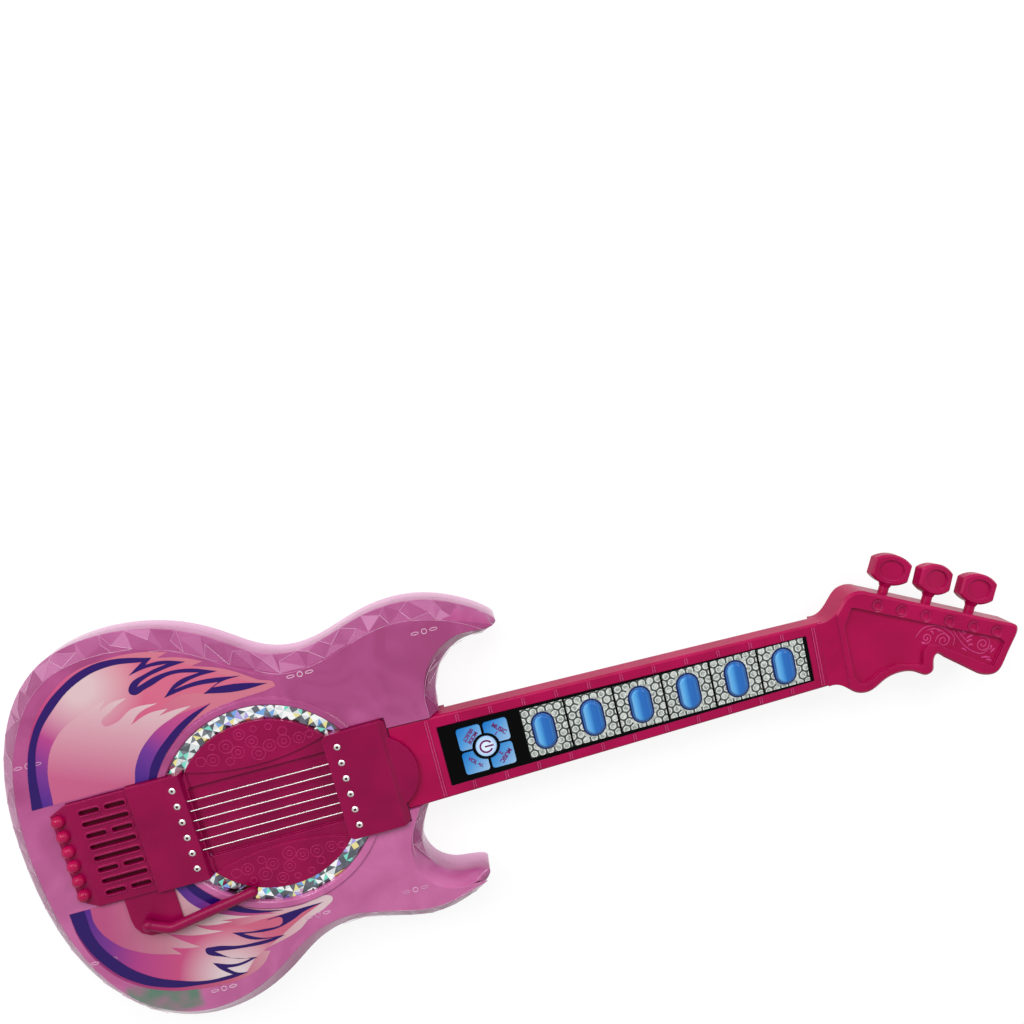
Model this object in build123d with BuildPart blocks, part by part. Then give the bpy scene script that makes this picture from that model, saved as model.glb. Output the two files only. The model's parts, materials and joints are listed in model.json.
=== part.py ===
from build123d import *
import math
import os

os.makedirs("parts", exist_ok=True)

# Toy electric guitar, all sizes in mm.
# X runs along the neck to the headstock, Y towards the long horn, Z up out of the playing face.
# The origin is on the flat back, under the centre of the sound disc.

# ---------------------------------------------------------------- driving dimensions
wall = 2.0               # moulded wall thickness
gap = 0.3                # clearance between a moving piece and its neighbour
running_fit = 0.05       # radial clearance of a shaft in its bore

body_top = 32.0          # playing face of the body
body_split = 15.0        # joint between the two body shells
band_start = 22.0        # where the wall starts to slope in towards the face
back_edge = 3.0          # chamfer round the back
seat_z = 30.0            # floor of the recess that the centre pieces stand in
seat_under = seat_z - wall

disc_radius = 52.3
foil_radius = 61.0
lip_radius = 66.0
block_top = 36.0
block_half = 33.4
grille_top = 34.6
grille_half = 32.4
string_pitch = 6.26
string_z = 34.0
pin_pitch = 10.0

neck_back = 15.0
neck_split = 23.0
neck_top = 31.0
root_start = 48.0        # inner end of the root inside the body
neck_start = 77.6        # where the neck leaves the body block
neck_round_from = 112.0  # the back of the neck is round from here on
neck_end = 345.0
neck_half_wide = 26.5    # half width at neck_start
neck_half_slim = 20.5    # half width at neck_end
neck_ceiling = 28.8
neck_floor = 17.4

overlay_start = 105.5
overlay_end = 333.5
overlay_seat = 30.6
overlay_top = 31.4

key_count = 6
key_pitch = 30.0
key_first = 166.8
key_travel = 1.2
pad_travel = 0.7
power_x = 131.0
board_z = 23.6

rim_top = 34.0           # rim round the headstock face
head_floor = 32.0
tuner_count = 3
tuner_pitch = 29.0
tuner_reach = 15.2       # from the headstock edge to the middle of a knob
shaft_radius = 3.0

pivot = (-86.0, -51.0)   # whammy bar pivot
speaker_x = -91.0


def taper_half(x):
    """Half width of the neck at x."""
    share = (x - neck_start) / (neck_end - neck_start)
    return neck_half_wide + share * (neck_half_slim - neck_half_wide)


# ---------------------------------------------------------------- body outline
# Counter-clockwise: x, y, and the width of the sloping band inside the edge at that point.
body_outline = [
    (109.0, 30.0, 6), (111.5, 44.0, 7), (119.5, 57.5, 7), (133.5, 65.3, 6), (147.5, 67.0, 3.6),
    (154.6, 70.6, 2.6), (150.2, 76.4, 4), (140.5, 83.4, 6.5), (124.0, 91.4, 9), (101.0, 96.0, 9),
    (76.0, 93.1, 9), (51.5, 85.4, 9), (34.8, 83.2, 9), (17.5, 87.2, 9), (-3.6, 101.1, 9),
    (-25.8, 113.4, 9), (-51.7, 120.3, 9), (-77.3, 120.9, 9), (-101.5, 114.4, 9),
    (-122.1, 97.4, 9), (-137.0, 71.0, 9), (-146.0, 36.0, 9), (-147.8, 0.0, 9),
    (-145.0, -36.0, 9), (-135.5, -72.0, 9), (-116.5, -102.5, 9), (-91.0, -120.8, 9),
    (-63.9, -125.9, 9), (-38.0, -120.8, 9), (-16.0, -109.2, 9), (4.0, -96.0, 9),
    (26.5, -90.8, 9), (51.6, -95.9, 9), (76.2, -100.5, 9), (98.0, -96.0, 7.5),
    (111.0, -88.0, 4), (113.8, -83.0, 2.6), (108.0, -80.0, 3.6), (95.0, -78.0, 6),
    (83.5, -70.5, 7), (78.6, -57.0, 7), (81.8, -42.0, 6), (89.5, -28.0, 6), (101.5, 2.0, 6),
]


def body_ring(inset, band_share=0.0):
    """Outline points moved inwards by inset plus a share of the sloping band."""
    ring = []
    for i, (x, y, band) in enumerate(body_outline):
        before = body_outline[i - 1]
        after = body_outline[(i + 1) % len(body_outline)]
        along = Vector(after[0] - before[0], after[1] - before[1]).normalized()
        move = inset + band_share * band
        ring.append((x - along.Y * move, y + along.X * move))
    return ring


def ring_section(z, inset, band_share=0.0):
    """Closed section of the body at height z."""
    with BuildSketch(Plane.XY.offset(z)) as section:
        with BuildLine():
            Spline(*body_ring(inset, band_share), periodic=True)
        make_face()
    return section.sketch


def rounded_block(x_low, x_high, half, z_low, z_high, radius=3.0):
    """Block between two x values with rounded upright corners."""
    with BuildPart(mode=Mode.PRIVATE) as block:
        with BuildSketch(Plane.XY.offset(z_low)):
            with Locations(((x_low + x_high) / 2, 0)):
                RectangleRounded(x_high - x_low, 2 * half, radius)
        extrude(amount=z_high - z_low)
    return block.part


def screw_group(points, head_z, head_radius, head_height, shank_radius, shank_length):
    """Pan-head screws pointing up, heads at head_z, one separate solid per point."""
    with BuildPart() as screws:
        with BuildSketch(Plane.XY.offset(head_z)):
            with Locations(*points):
                Circle(head_radius)
        extrude(amount=head_height)
        with BuildSketch(Plane.XY.offset(head_z + head_height)):
            with Locations(*points):
                Circle(shank_radius)
        extrude(amount=shank_length)
        cross = 0.45
        with BuildSketch(Plane.XY.offset(head_z)):
            with Locations(*points):
                Rectangle(head_radius * 1.3, cross * 2)
                Rectangle(cross * 2, head_radius * 1.3)
        extrude(amount=head_height * 0.5, mode=Mode.SUBTRACT)
    return screws


# ---------------------------------------------------------------- shared positions
body_screw_points = [
    (38, 72), (113, 78), (-59, 106), (-123, 60), (-126, -6), (-119, -68), (-58, -106), (8, -76), (68, -77),
]
led_points = [(98, 74), (46, 52), (60, -62), (-112, 74)]
speaker_screw_circle = 26.4
speaker_screw_points = [
    (speaker_x + speaker_screw_circle * math.cos(angle), speaker_screw_circle * math.sin(angle))
    for angle in map(math.radians, (55, 125, 235, 305))
]
root_screw_points = [(60, 14), (60, -14)]

neck_slot = [
    (neck_start - gap, neck_half_wide + gap), (neck_start - gap, -neck_half_wide - gap),
    (120, -taper_half(120) - gap), (120, taper_half(120) + gap),
]
neck_slot_wall = [
    (neck_start - gap - wall, neck_half_wide + gap + wall),
    (neck_start - gap - wall, -neck_half_wide - gap - wall),
    (120, -taper_half(120) - gap - wall), (120, taper_half(120) + gap + wall),
]

# battery bay: centre, size of the door opening and size of the compartment
bay_x = -5.0
bay_y = 32.0
bay_length = 53.0
bay_width = 45.0
door_ear = 8.0
door_ear_width = 10.0
hinge_y = bay_y - bay_width / 2 + gap
door_screw_y = bay_y + bay_width / 2 + door_ear / 2

# ---------------------------------------------------------------- front shell
with BuildPart() as front_cavity:
    add(ring_section(body_split, wall))
    extrude(amount=band_start - 0.8 - body_split)
    loft(sections=[ring_section(band_start - 0.8, wall), ring_section(seat_z, 0.6, 1.0)], ruled=True)
    # floor under the recess for the sound disc and the blocks
    with BuildSketch(Plane.XY.offset(seat_under)):
        Circle(foil_radius + 0.2 + wall)
        with Locations(((neck_start - 110.3) / 2, 0)):
            Rectangle(neck_start + 110.3 + 2 * wall, 2 * (block_half + 0.3 + wall))
    extrude(amount=wall, mode=Mode.SUBTRACT)
    # walls of the slot for the neck
    with BuildSketch(Plane.XY.offset(body_split)):
        Polygon(*neck_slot_wall, align=None)
    extrude(amount=body_top - body_split, mode=Mode.SUBTRACT)
    # screw posts hanging from the face
    with BuildSketch(Plane.XY.offset(body_split)):
        with Locations(*body_screw_points):
            Circle(4.0)
    extrude(amount=body_top - body_split, mode=Mode.SUBTRACT)

with BuildPart() as front_shell:
    add(ring_section(body_split, 0))
    extrude(amount=band_start - body_split)
    loft(sections=[ring_section(band_start, 0), ring_section(body_top, 0, 1.0)], ruled=True)
    # raised lip round the foil ring, stopping at the blocks
    with BuildSketch(Plane.XY.offset(seat_z)):
        Circle(lip_radius)
        Circle(foil_radius + 0.2, mode=Mode.SUBTRACT)
    extrude(amount=body_top + 1.2 - seat_z)
    lip_edges = front_shell.edges().filter_by(GeomType.CIRCLE).group_by(Axis.Z)[-1]
    chamfer(lip_edges, 0.8)
    add(front_cavity.part, mode=Mode.SUBTRACT)
    # recess for the foil ring, the sound disc and the blocks
    with BuildSketch(Plane.XY.offset(seat_z)):
        Circle(foil_radius + 0.2)
        with Locations(((neck_start - gap - 75.3) / 2, 0)):
            Rectangle(neck_start - gap + 75.3, 2 * (block_half + 0.3))
        with Locations(((-75 - 110.3) / 2, 0)):
            Rectangle(110.3 - 75, 2 * (grille_half + 0.3))
    extrude(amount=5, mode=Mode.SUBTRACT)
    # openings behind the sound disc and the grille
    with BuildSketch(Plane.XY.offset(seat_under)):
        Circle(47.0)
        with Locations((speaker_x, 0)):
            Circle(24.0)
    extrude(amount=wall, mode=Mode.SUBTRACT)
    # slot for the neck, and the way in for its root
    with BuildSketch(Plane.XY.offset(body_split)):
        Polygon(*neck_slot, align=None)
    extrude(amount=body_top - body_split, mode=Mode.SUBTRACT)
    with BuildSketch(Plane.XY.offset(body_split)):
        with Locations((neck_start - wall, 0)):
            Rectangle(3 * wall, 2 * 22.3)
    extrude(amount=27.9 - body_split, mode=Mode.SUBTRACT)
    # pilot holes for the body and speaker screws, and the whammy pivot hole
    with BuildSketch(Plane.XY.offset(body_split)):
        with Locations(*body_screw_points):
            Circle(1.5)
    extrude(amount=11.0, mode=Mode.SUBTRACT)
    with BuildSketch(Plane.XY.offset(seat_under)):
        with Locations(*speaker_screw_points):
            Circle(1.05)
    extrude(amount=1.8, mode=Mode.SUBTRACT)
    with BuildSketch(Plane.XY.offset(seat_under)):
        with Locations(pivot):
            Circle(4.4)
    extrude(amount=6, mode=Mode.SUBTRACT)
front_shell.part.label = "front_shell"
export_step(front_shell.part, "parts/front_shell.step")

# ---------------------------------------------------------------- rear shell
with BuildPart() as rear_cavity:
    loft(sections=[ring_section(wall, back_edge + 1.2), ring_section(back_edge + 0.8, wall)], ruled=True)
    add(ring_section(back_edge + 0.8, wall))
    extrude(amount=body_split - back_edge - 0.8)
    # screw posts, root posts and lamp posts left standing
    with BuildSketch(Plane.XY.offset(wall)):
        with Locations(*body_screw_points):
            Circle(4.6)
        with Locations(*root_screw_points):
            Circle(4.6)
    extrude(amount=body_split, mode=Mode.SUBTRACT)
    with BuildSketch(Plane.XY.offset(wall)):
        with Locations(*led_points):
            Circle(3.4)
    extrude(amount=6.0, mode=Mode.SUBTRACT)

with BuildPart() as rear_shell:
    loft(sections=[ring_section(0, back_edge), ring_section(back_edge, 0)], ruled=True)
    add(ring_section(back_edge, 0))
    extrude(amount=body_split - back_edge)
    add(rear_cavity.part, mode=Mode.SUBTRACT)
    # counterbored screw holes
    for points in (body_screw_points, root_screw_points):
        with BuildSketch():
            with Locations(*points):
                Circle(3.3)
        extrude(amount=6.0, mode=Mode.SUBTRACT)
        with BuildSketch():
            with Locations(*points):
                Circle(1.7)
        extrude(amount=body_split, mode=Mode.SUBTRACT)
    # opening for the battery door and its ear
    with BuildSketch():
        with Locations((bay_x, bay_y)):
            Rectangle(bay_length, bay_width)
        with Locations((bay_x, door_screw_y)):
            Rectangle(door_ear_width, door_ear)
    extrude(amount=wall, mode=Mode.SUBTRACT)
rear_shell.part.label = "rear_shell"
export_step(rear_shell.part, "parts/rear_shell.step")

# ---------------------------------------------------------------- sound disc and foil ring
bed_left = -42.0
bed_right = 40.0
bed_half = 22.5
with BuildPart() as soundboard:
    with BuildSketch(Plane.XY.offset(seat_z)):
        Circle(disc_radius)
    extrude(amount=1.2)
    # two bubble pads, with inner edges that bulge towards the strings
    with BuildSketch(Plane.XY.offset(seat_z + 1.2)):
        Circle(disc_radius)
        with BuildLine():
            upper = ThreePointArc((-41, 32.4), (0, 26), (41, 32.4))
            Line(upper @ 1, (41, -32.4))
            lower = ThreePointArc((41, -32.4), (0, -26), (-41, -32.4))
            Line(lower @ 1, upper @ 0)
        make_face(mode=Mode.SUBTRACT)
    extrude(amount=1.4)
    with BuildSketch(Plane.XY.offset(seat_z)):
        Circle(46.7)
    extrude(amount=-3.0)
    # bed below the strings
    with BuildSketch(Plane.XY.offset(seat_z - 1.0)):
        with Locations(((bed_left + bed_right) / 2, 0)):
            Rectangle(bed_right - bed_left, 2 * bed_half)
    extrude(amount=5, mode=Mode.SUBTRACT)
    with BuildSketch(Plane.XY.offset(seat_z - 3.0)):
        Rectangle(60, 60)
        Circle(20, mode=Mode.SUBTRACT)
    extrude(amount=0.6, mode=Mode.SUBTRACT)
soundboard.part.label = "soundboard"
export_step(soundboard.part, "parts/soundboard.step")

with BuildPart() as prism_ring:
    with BuildSketch(Plane.XY.offset(seat_z)):
        Circle(foil_radius)
        Circle(disc_radius + 0.3, mode=Mode.SUBTRACT)
    extrude(amount=0.4)
prism_ring.part.label = "prism_ring"
export_step(prism_ring.part, "parts/prism_ring.step")

# ---------------------------------------------------------------- bridge block, grille and neck block
string_ys = [string_pitch * (i - 2.5) for i in range(6)]
pin_ys = [pin_pitch * (i - 2.5) for i in range(6)]
bridge_left = -75.0
bridge_right = -42.0
bridge_pin_x = -49.5
nut_left = 40.0
nut_right = 73.0
nut_pin_x = 47.5
tongue_x = 64.5
tongue_radius = 24.5
block_ceiling = block_top - 1.2

with BuildPart() as disc_clearance:
    with BuildSketch(Plane.XY.offset(seat_z - 1)):
        Circle(foil_radius + 0.2)
    extrude(amount=1.5)
    with BuildSketch(Plane.XY.offset(seat_z - 1)):
        Circle(disc_radius + 0.2)
    extrude(amount=3.7)

with BuildPart() as string_holes:
    with BuildSketch(Plane.YZ.offset(-46)):
        with Locations(*[(y, string_z) for y in string_ys]):
            Circle(0.7)
    extrude(amount=92)

with BuildPart() as bridge_block:
    with BuildSketch(Plane.XZ.offset(-block_half)):
        with BuildLine():
            Polyline(
                (bridge_left, seat_z), (bridge_right, seat_z), (bridge_right - 2.4, block_top),
                (bridge_left, block_top), close=True,
            )
        make_face()
    extrude(amount=2 * block_half)
    fillet(bridge_block.edges().filter_by(Axis.Y).group_by(Axis.Z)[-1], 0.8)
    with BuildSketch(Plane.XY.offset(seat_z)):
        with Locations(((bridge_left + bridge_right) / 2 - 1.2, 0)):
            Rectangle(bridge_right - bridge_left - 2 * wall - 2.4, 2 * (block_half - wall))
    extrude(amount=block_ceiling - seat_z, mode=Mode.SUBTRACT)
    add(disc_clearance.part, mode=Mode.SUBTRACT)
    add(string_holes.part, mode=Mode.SUBTRACT)
    with BuildSketch(Plane.XY.offset(block_ceiling)):
        with Locations(*[(bridge_pin_x, y) for y in pin_ys]):
            Circle(1.2)
    extrude(amount=wall, mode=Mode.SUBTRACT)
bridge_block.part.label = "bridge_block"
export_step(bridge_block.part, "parts/bridge_block.step")

# Slots run along X: short pairs and full-length ones, from the long-horn side down.
slot_rows = ["short", "long", "short", "long", "long", "short", "long", "short"]
slot_pitch = 7.3
slot_width = 3.0


def grille_slots(extra):
    """Slot outlines in the grille, grown by extra on every side."""
    with BuildSketch(mode=Mode.PRIVATE) as slots:
        for row, kind in enumerate(slot_rows):
            y = slot_pitch * (3.5 - row)
            spans = [(-104, -92), (-89, -77)] if kind == "short" else [(-104, -77)]
            for low, high in spans:
                with Locations(((low + high) / 2, y)):
                    SlotOverall(high - low + 2 * extra, slot_width + 2 * extra)
    return slots.sketch


peg_ys = [9.5 * (i - 2.5) for i in range(6)]
peg_x = -116.5
peg_radius = 3.8
peg_z = 34.0
with BuildPart() as speaker_grille:
    with BuildSketch(Plane.XY.offset(seat_z)):
        with Locations(((-110 - 75) / 2 - 0.05, 0)):
            Rectangle(110 - 75 - 0.1, 2 * grille_half)
    extrude(amount=grille_top - seat_z)
    # ramp down to the tail, with clipped corners
    with BuildSketch(Plane.XY.offset(body_top)):
        Polygon((-110, grille_half), (-110, -grille_half), (-120.5, -27.5), (-120.5, 27.5), align=None)
    extrude(amount=grille_top - body_top)
    with BuildSketch(Plane.XZ.offset(-grille_half - 1)):
        Polygon(
            (-109.5, grille_top), (-122, grille_top - 2.2), (-122, grille_top + 2), (-109.5, grille_top + 2),
            align=None,
        )
    extrude(amount=2 * grille_half + 2, mode=Mode.SUBTRACT)
    with BuildSketch(Plane.XY.offset(seat_z)):
        with Locations((-92.5, 0)):
            Rectangle(31, 2 * (grille_half - wall))
    extrude(amount=grille_top - 1.6 - seat_z, mode=Mode.SUBTRACT)
    # raised lip round each slot, then the slots
    with BuildSketch(Plane.XY.offset(grille_top)):
        add(grille_slots(0.9))
    extrude(amount=0.5)
    with BuildSketch(Plane.XY.offset(seat_z)):
        add(grille_slots(0.0))
    extrude(amount=8, mode=Mode.SUBTRACT)
    with BuildSketch(Plane.XY.offset(body_top)):
        with Locations(*[(peg_x, y) for y in peg_ys]):
            Circle(peg_radius + 0.05)
    extrude(amount=4, mode=Mode.SUBTRACT)
speaker_grille.part.label = "speaker_grille"
export_step(speaker_grille.part, "parts/speaker_grille.step")

with BuildPart() as ball_pegs:
    for peg_y in peg_ys:
        with Locations((peg_x, peg_y, peg_z)):
            Sphere(peg_radius)
    # flat underside on the face of the body
    with BuildSketch(Plane.XY.offset(body_top + 0.05)):
        with Locations((peg_x, 0)):
            Rectangle(12, 70)
    extrude(amount=-5, mode=Mode.SUBTRACT)
ball_pegs.part.label = "ball_pegs"
export_step(ball_pegs.part, "parts/ball_pegs.step")

with BuildPart() as neck_block:
    add(rounded_block(nut_left, nut_right + 4, block_half, seat_z, block_top, 3.5))
    # slope down towards the neck
    with BuildSketch(Plane.XZ.offset(-block_half - 1)):
        Polygon((nut_right, block_top), (nut_right + 4.2, neck_top + 1.2), (nut_right + 4.2, block_top + 2),
                (nut_right, block_top + 2), align=None)
    extrude(amount=2 * block_half + 2, mode=Mode.SUBTRACT)
    with BuildSketch(Plane.XY.offset(seat_z)):
        with Locations(((nut_left + nut_right) / 2, 0)):
            Rectangle(nut_right - nut_left - 2 * wall, 2 * (block_half - wall))
    extrude(amount=block_ceiling - seat_z, mode=Mode.SUBTRACT)
    # round tongue lying over the start of the neck
    with BuildSketch(Plane.XY.offset(neck_top)):
        with Locations((tongue_x, 0)):
            Circle(tongue_radius)
        with Locations((tongue_x - 10, 0)):
            Rectangle(37.0, 60, mode=Mode.SUBTRACT)
    extrude(amount=2.6)
    add(disc_clearance.part, mode=Mode.SUBTRACT)
    add(string_holes.part, mode=Mode.SUBTRACT)
    with BuildSketch(Plane.XY.offset(block_ceiling)):
        with Locations(*[(nut_pin_x, y) for y in pin_ys]):
            Circle(1.2)
    extrude(amount=wall, mode=Mode.SUBTRACT)
neck_block.part.label = "neck_block"
export_step(neck_block.part, "parts/neck_block.step")

for pins_name, pins_x in (("bridge_pins", bridge_pin_x), ("nut_pins", nut_pin_x)):
    with BuildPart() as pins:
        for pin_y in pin_ys:
            with BuildSketch(Plane.XZ.offset(-pin_y)):
                with BuildLine():
                    Polyline(
                        (pins_x, block_ceiling - 0.6), (pins_x + 1.1, block_ceiling - 0.6),
                        (pins_x + 1.1, block_top), (pins_x + 1.9, block_top),
                        (pins_x + 1.9, block_top + 0.35),
                        (pins_x + 1.3, block_top + 0.8), (pins_x + 0.8, block_top + 0.8),
                        (pins_x + 0.6, block_top + 0.2), (pins_x, block_top + 0.2), close=True,
                    )
                make_face()
            revolve(axis=Axis((pins_x, pin_y, 0), (0, 0, 1)))
    pins.part.label = pins_name
    export_step(pins.part, f"parts/{pins_name}.step")

for number, string_y in enumerate(string_ys, start=1):
    with BuildPart() as string:
        with BuildSketch(Plane.YZ.offset(-45.5)):
            with Locations((string_y, string_z)):
                Circle(0.55)
        extrude(amount=45.5 + 43.5)
    string.part.label = f"string_{number}"
    export_step(string.part, f"parts/string_{number}.step")

# ---------------------------------------------------------------- whammy bar
plate_top = 33.4
bar_radius = 3.1
bar_z = plate_top + gap + bar_radius
stem_radius = 2.5
stem_foot = 25.6
elbow = (-74.0, -56.6)
tip = (-23.0, -48.0)

with BuildPart() as whammy_bracket:
    with BuildSketch(Plane.XY.offset(body_top)):
        with BuildLine():
            Polyline((-96, -32.6), (-96, -47), (-95.2, -52), (-92.5, -56.5), (-88, -59.3), (-82, -60),
                     (-67, -60), (-67, -34.2), (-74.6, -34.2), (-74.6, -32.6), close=True)
        make_face()
    extrude(amount=plate_top - body_top)
    # tube that guides the stem of the bar through the body
    with BuildSketch(Plane.XY.offset(body_top)):
        with Locations(pivot):
            Circle(4.2)
    extrude(amount=-5.0)
    with BuildSketch(Plane.XY.offset(body_top - 5.0)):
        with Locations(pivot):
            Circle(stem_radius + running_fit)
    extrude(amount=8, mode=Mode.SUBTRACT)
    # upright cheek beside the slot under the bar
    with BuildSketch(Plane.XY.offset(body_top)):
        with Locations((-69.0, -41.5)):
            Rectangle(2.6, 13)
    extrude(amount=0.8, mode=Mode.SUBTRACT)
whammy_bracket.part.label = "whammy_bracket"
export_step(whammy_bracket.part, "parts/whammy_bracket.step")

with BuildPart() as whammy_bar:
    with BuildLine() as bar_route:
        FilletPolyline(*((x, y, bar_z) for x, y in (pivot, elbow, tip)), radius=9)
    with BuildSketch(Plane(origin=bar_route.line @ 0, z_dir=bar_route.line % 0)):
        Circle(bar_radius)
    sweep(path=bar_route.wire())
    with Locations((pivot[0], pivot[1], bar_z)):
        Sphere(bar_radius + 0.6)
    with Locations((tip[0], tip[1], bar_z)):
        Sphere(bar_radius)
    with BuildSketch(Plane.XY.offset(plate_top + gap)):
        Rectangle(400, 400)
    extrude(amount=-5, mode=Mode.SUBTRACT)
    with BuildSketch(Plane.XY.offset(stem_foot)):
        with Locations(pivot):
            Circle(stem_radius)
    extrude(amount=bar_z - stem_foot)
    with BuildSketch(Plane.XY.offset(stem_foot)):
        with Locations(pivot):
            Circle(1.0)
    extrude(amount=6, mode=Mode.SUBTRACT)
whammy_bar.part.label = "whammy_bar"
export_step(whammy_bar.part, "parts/whammy_bar.step")

whammy_screw = screw_group([pivot], stem_foot - 1.6, 3.8, 1.6, 0.95, 5.0)
whammy_screw.part.label = "whammy_screw"
export_step(whammy_screw.part, "parts/whammy_screw.step")

# ---------------------------------------------------------------- neck and headstock
edge_start = Vector(375.0, 32.5)
edge_end = Vector(461.5, -11.3)
edge_along = (edge_end - edge_start).normalized()
edge_out = Vector(-edge_along.Y, edge_along.X)
tuner_steps = [15.0 + tuner_pitch * i for i in range(tuner_count)]


def edge_point(along, out):
    """Point at a distance along and outwards from the straight edge that carries the tuners."""
    return edge_start + edge_along * along + edge_out * out


def head_face():
    """Outline of the headstock."""
    with BuildSketch(mode=Mode.PRIVATE) as face:
        with BuildLine():
            nape = Spline((neck_end - 3, neck_half_slim), (350, 21.6), (356, 27), (363, 33.4), (369, 34.4),
                          (edge_start.X, edge_start.Y))
            edge = Line(nape @ 1, (edge_end.X, edge_end.Y))
            point = Spline(edge @ 1, (464.3, -13.6), (460.5, -22.5), (454, -32), (446.5, -39.8),
                           (440.5, -39.6), (433.5, -36))
            under = Line(point @ 1, (415.5, -21))
            scallop = Spline(under @ 1, (410.5, -18.2), (408.6, -22), (407.2, -27.6), (403.6, -29.2),
                             (396, -25.4), (387, -23.1), (377, -24.8), (366, -29.8), (357, -28),
                             (350, -22), (neck_end - 3, -neck_half_slim))
            Line(scallop @ 1, nape @ 0)
        make_face()
    return face.sketch


def head_recess():
    """Outline of the recessed headstock face, between the rim and the strip beside the tuners."""
    with BuildSketch(mode=Mode.PRIVATE) as recess:
        Polygon(
            (363.5, 26.0), (451.8, -17.8), (454.7, -21.6), (444.8, -35.2), (411.4, -11.4),
            (406.6, -10.2), (403.0, -13.6), (401.2, -22.4), (386, -17.8), (375.3, -18.8),
            (364.4, -24.2), (360.2, -23.0), (357.5, -17.8), (356.8, 14.5), align=None,
        )
        fillet(recess.vertices(), 1.4)
    return recess.sketch


def head_hollow():
    """Hollow of the headstock, clear of the tuner bores."""
    with BuildSketch(mode=Mode.PRIVATE) as hollow:
        Polygon((367, 20), (439, -16.3), (448, -26), (441.5, -32.5), (411, -8), (402, -10), (399.5, -19),
                (388, -16), (376, -18), (365, -24.5), (360, -20), (360, 14), align=None)
    return hollow.sketch


def neck_face(x_low, x_high, inset=0.0):
    """Outline of the tapering neck between two x values."""
    low = taper_half(x_low) - inset
    high = taper_half(x_high) - inset
    with BuildSketch(mode=Mode.PRIVATE) as face:
        Polygon((x_low, low), (x_low, -low), (x_high, -high), (x_high, high), align=None)
    return face.sketch


neck_post_points = [
    (152, 16.2), (152, -16.2), (241.8, 15.8), (241.8, -15.8), (341, 0), (368, -19.5), (441, -28),
]
neck_screw_head_z = neck_back + 1.2
board_post_xs = [key_first - key_pitch / 2 + key_pitch * i for i in range(key_count)] + [110.0]

with BuildPart() as tuner_bores:
    for step in tuner_steps:
        mouth = edge_point(step, 0)
        bore_plane = Plane(
            origin=(mouth.X, mouth.Y, neck_split), z_dir=(-edge_out.X, -edge_out.Y, 0), x_dir=(0, 0, 1)
        )
        with BuildSketch(bore_plane.offset(-3)):
            Circle(shaft_radius + running_fit)
        extrude(amount=14)
        with BuildSketch(bore_plane.offset(7)):
            Circle(shaft_radius + 1.5 + gap)
        extrude(amount=1.6 + 2 * gap)

with BuildPart() as neck_rear_shell:
    # square root inside the body, then the neck proper with a round back
    with BuildSketch(Plane.XY.offset(neck_back)):
        add(neck_face(neck_round_from, neck_end))
    extrude(amount=neck_split - neck_back)
    back_edges = neck_rear_shell.edges().filter_by_position(Axis.Z, neck_back - 0.01, neck_back + 0.01)
    fillet(back_edges.filter_by(lambda edge: edge.length > 100), 5.0)
    with BuildSketch(Plane.XY.offset(neck_back)):
        add(neck_face(neck_start, neck_round_from))
    extrude(amount=neck_split - neck_back)
    with BuildSketch(Plane.XY.offset(neck_back)):
        with Locations(((root_start + neck_start + 1) / 2, 0)):
            Rectangle(neck_start + 1 - root_start, 44)
    extrude(amount=neck_split - neck_back)
    with BuildSketch(Plane.XY.offset(neck_back)):
        add(head_face())
    extrude(amount=neck_split - neck_back)
    # hollow
    with BuildSketch(Plane.XY.offset(neck_floor)):
        add(neck_face(100, 336, 3.2))
        with Locations((58, 0), (86, 0)):
            Rectangle(20, 38)
            Rectangle(38, 20)
        add(head_hollow())
        with Locations(*neck_post_points):
            Circle(3.2, mode=Mode.SUBTRACT)
        with Locations(*root_screw_points):
            Circle(3.4, mode=Mode.SUBTRACT)
    extrude(amount=neck_split - neck_floor, mode=Mode.SUBTRACT)
    # posts that carry the key board
    with BuildSketch(Plane.XY.offset(neck_floor)):
        with Locations(*[(x, 0) for x in board_post_xs]):
            Rectangle(4, 12)
    extrude(amount=board_z - neck_floor)
    # screw holes
    with BuildSketch(Plane.XY.offset(neck_back)):
        with Locations(*neck_post_points):
            Circle(2.8)
    extrude(amount=2.8, mode=Mode.SUBTRACT)
    with BuildSketch(Plane.XY.offset(neck_back)):
        with Locations(*neck_post_points):
            Circle(1.3)
        with Locations(*root_screw_points):
            Circle(1.5)
    extrude(amount=neck_split - neck_back, mode=Mode.SUBTRACT)
    with BuildSketch(Plane.XY.offset(neck_floor)):
        with Locations(*[(x, 0) for x in board_post_xs]):
            Circle(0.85)
    extrude(amount=board_z - neck_floor, mode=Mode.SUBTRACT)
    add(tuner_bores.part, mode=Mode.SUBTRACT)
neck_rear_shell.part.label = "neck_rear_shell"
export_step(neck_rear_shell.part, "parts/neck_rear_shell.step")

key_xs = [key_first + key_pitch * i for i in range(key_count)]
pad_x = 8.1
pad_y = 7.7
pad_length = 14.6
pad_width = 13.8
pad_names = {
    "mode_pad": (-1, 1), "music_1_pad": (1, 1), "volume_pad": (-1, -1), "music_2_pad": (1, -1),
}


def pad_face(side_x, side_y, grow=0.0):
    """One of the four pads round the power button, grown by grow on every side."""
    with BuildSketch(mode=Mode.PRIVATE) as face:
        with Locations((power_x + side_x * pad_x, side_y * pad_y)):
            RectangleRounded(pad_length + 2 * grow, pad_width + 2 * grow, 1.8 + grow)
        with Locations((power_x, 0)):
            Circle(8.3 - grow, mode=Mode.SUBTRACT)
    return face.sketch


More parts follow.
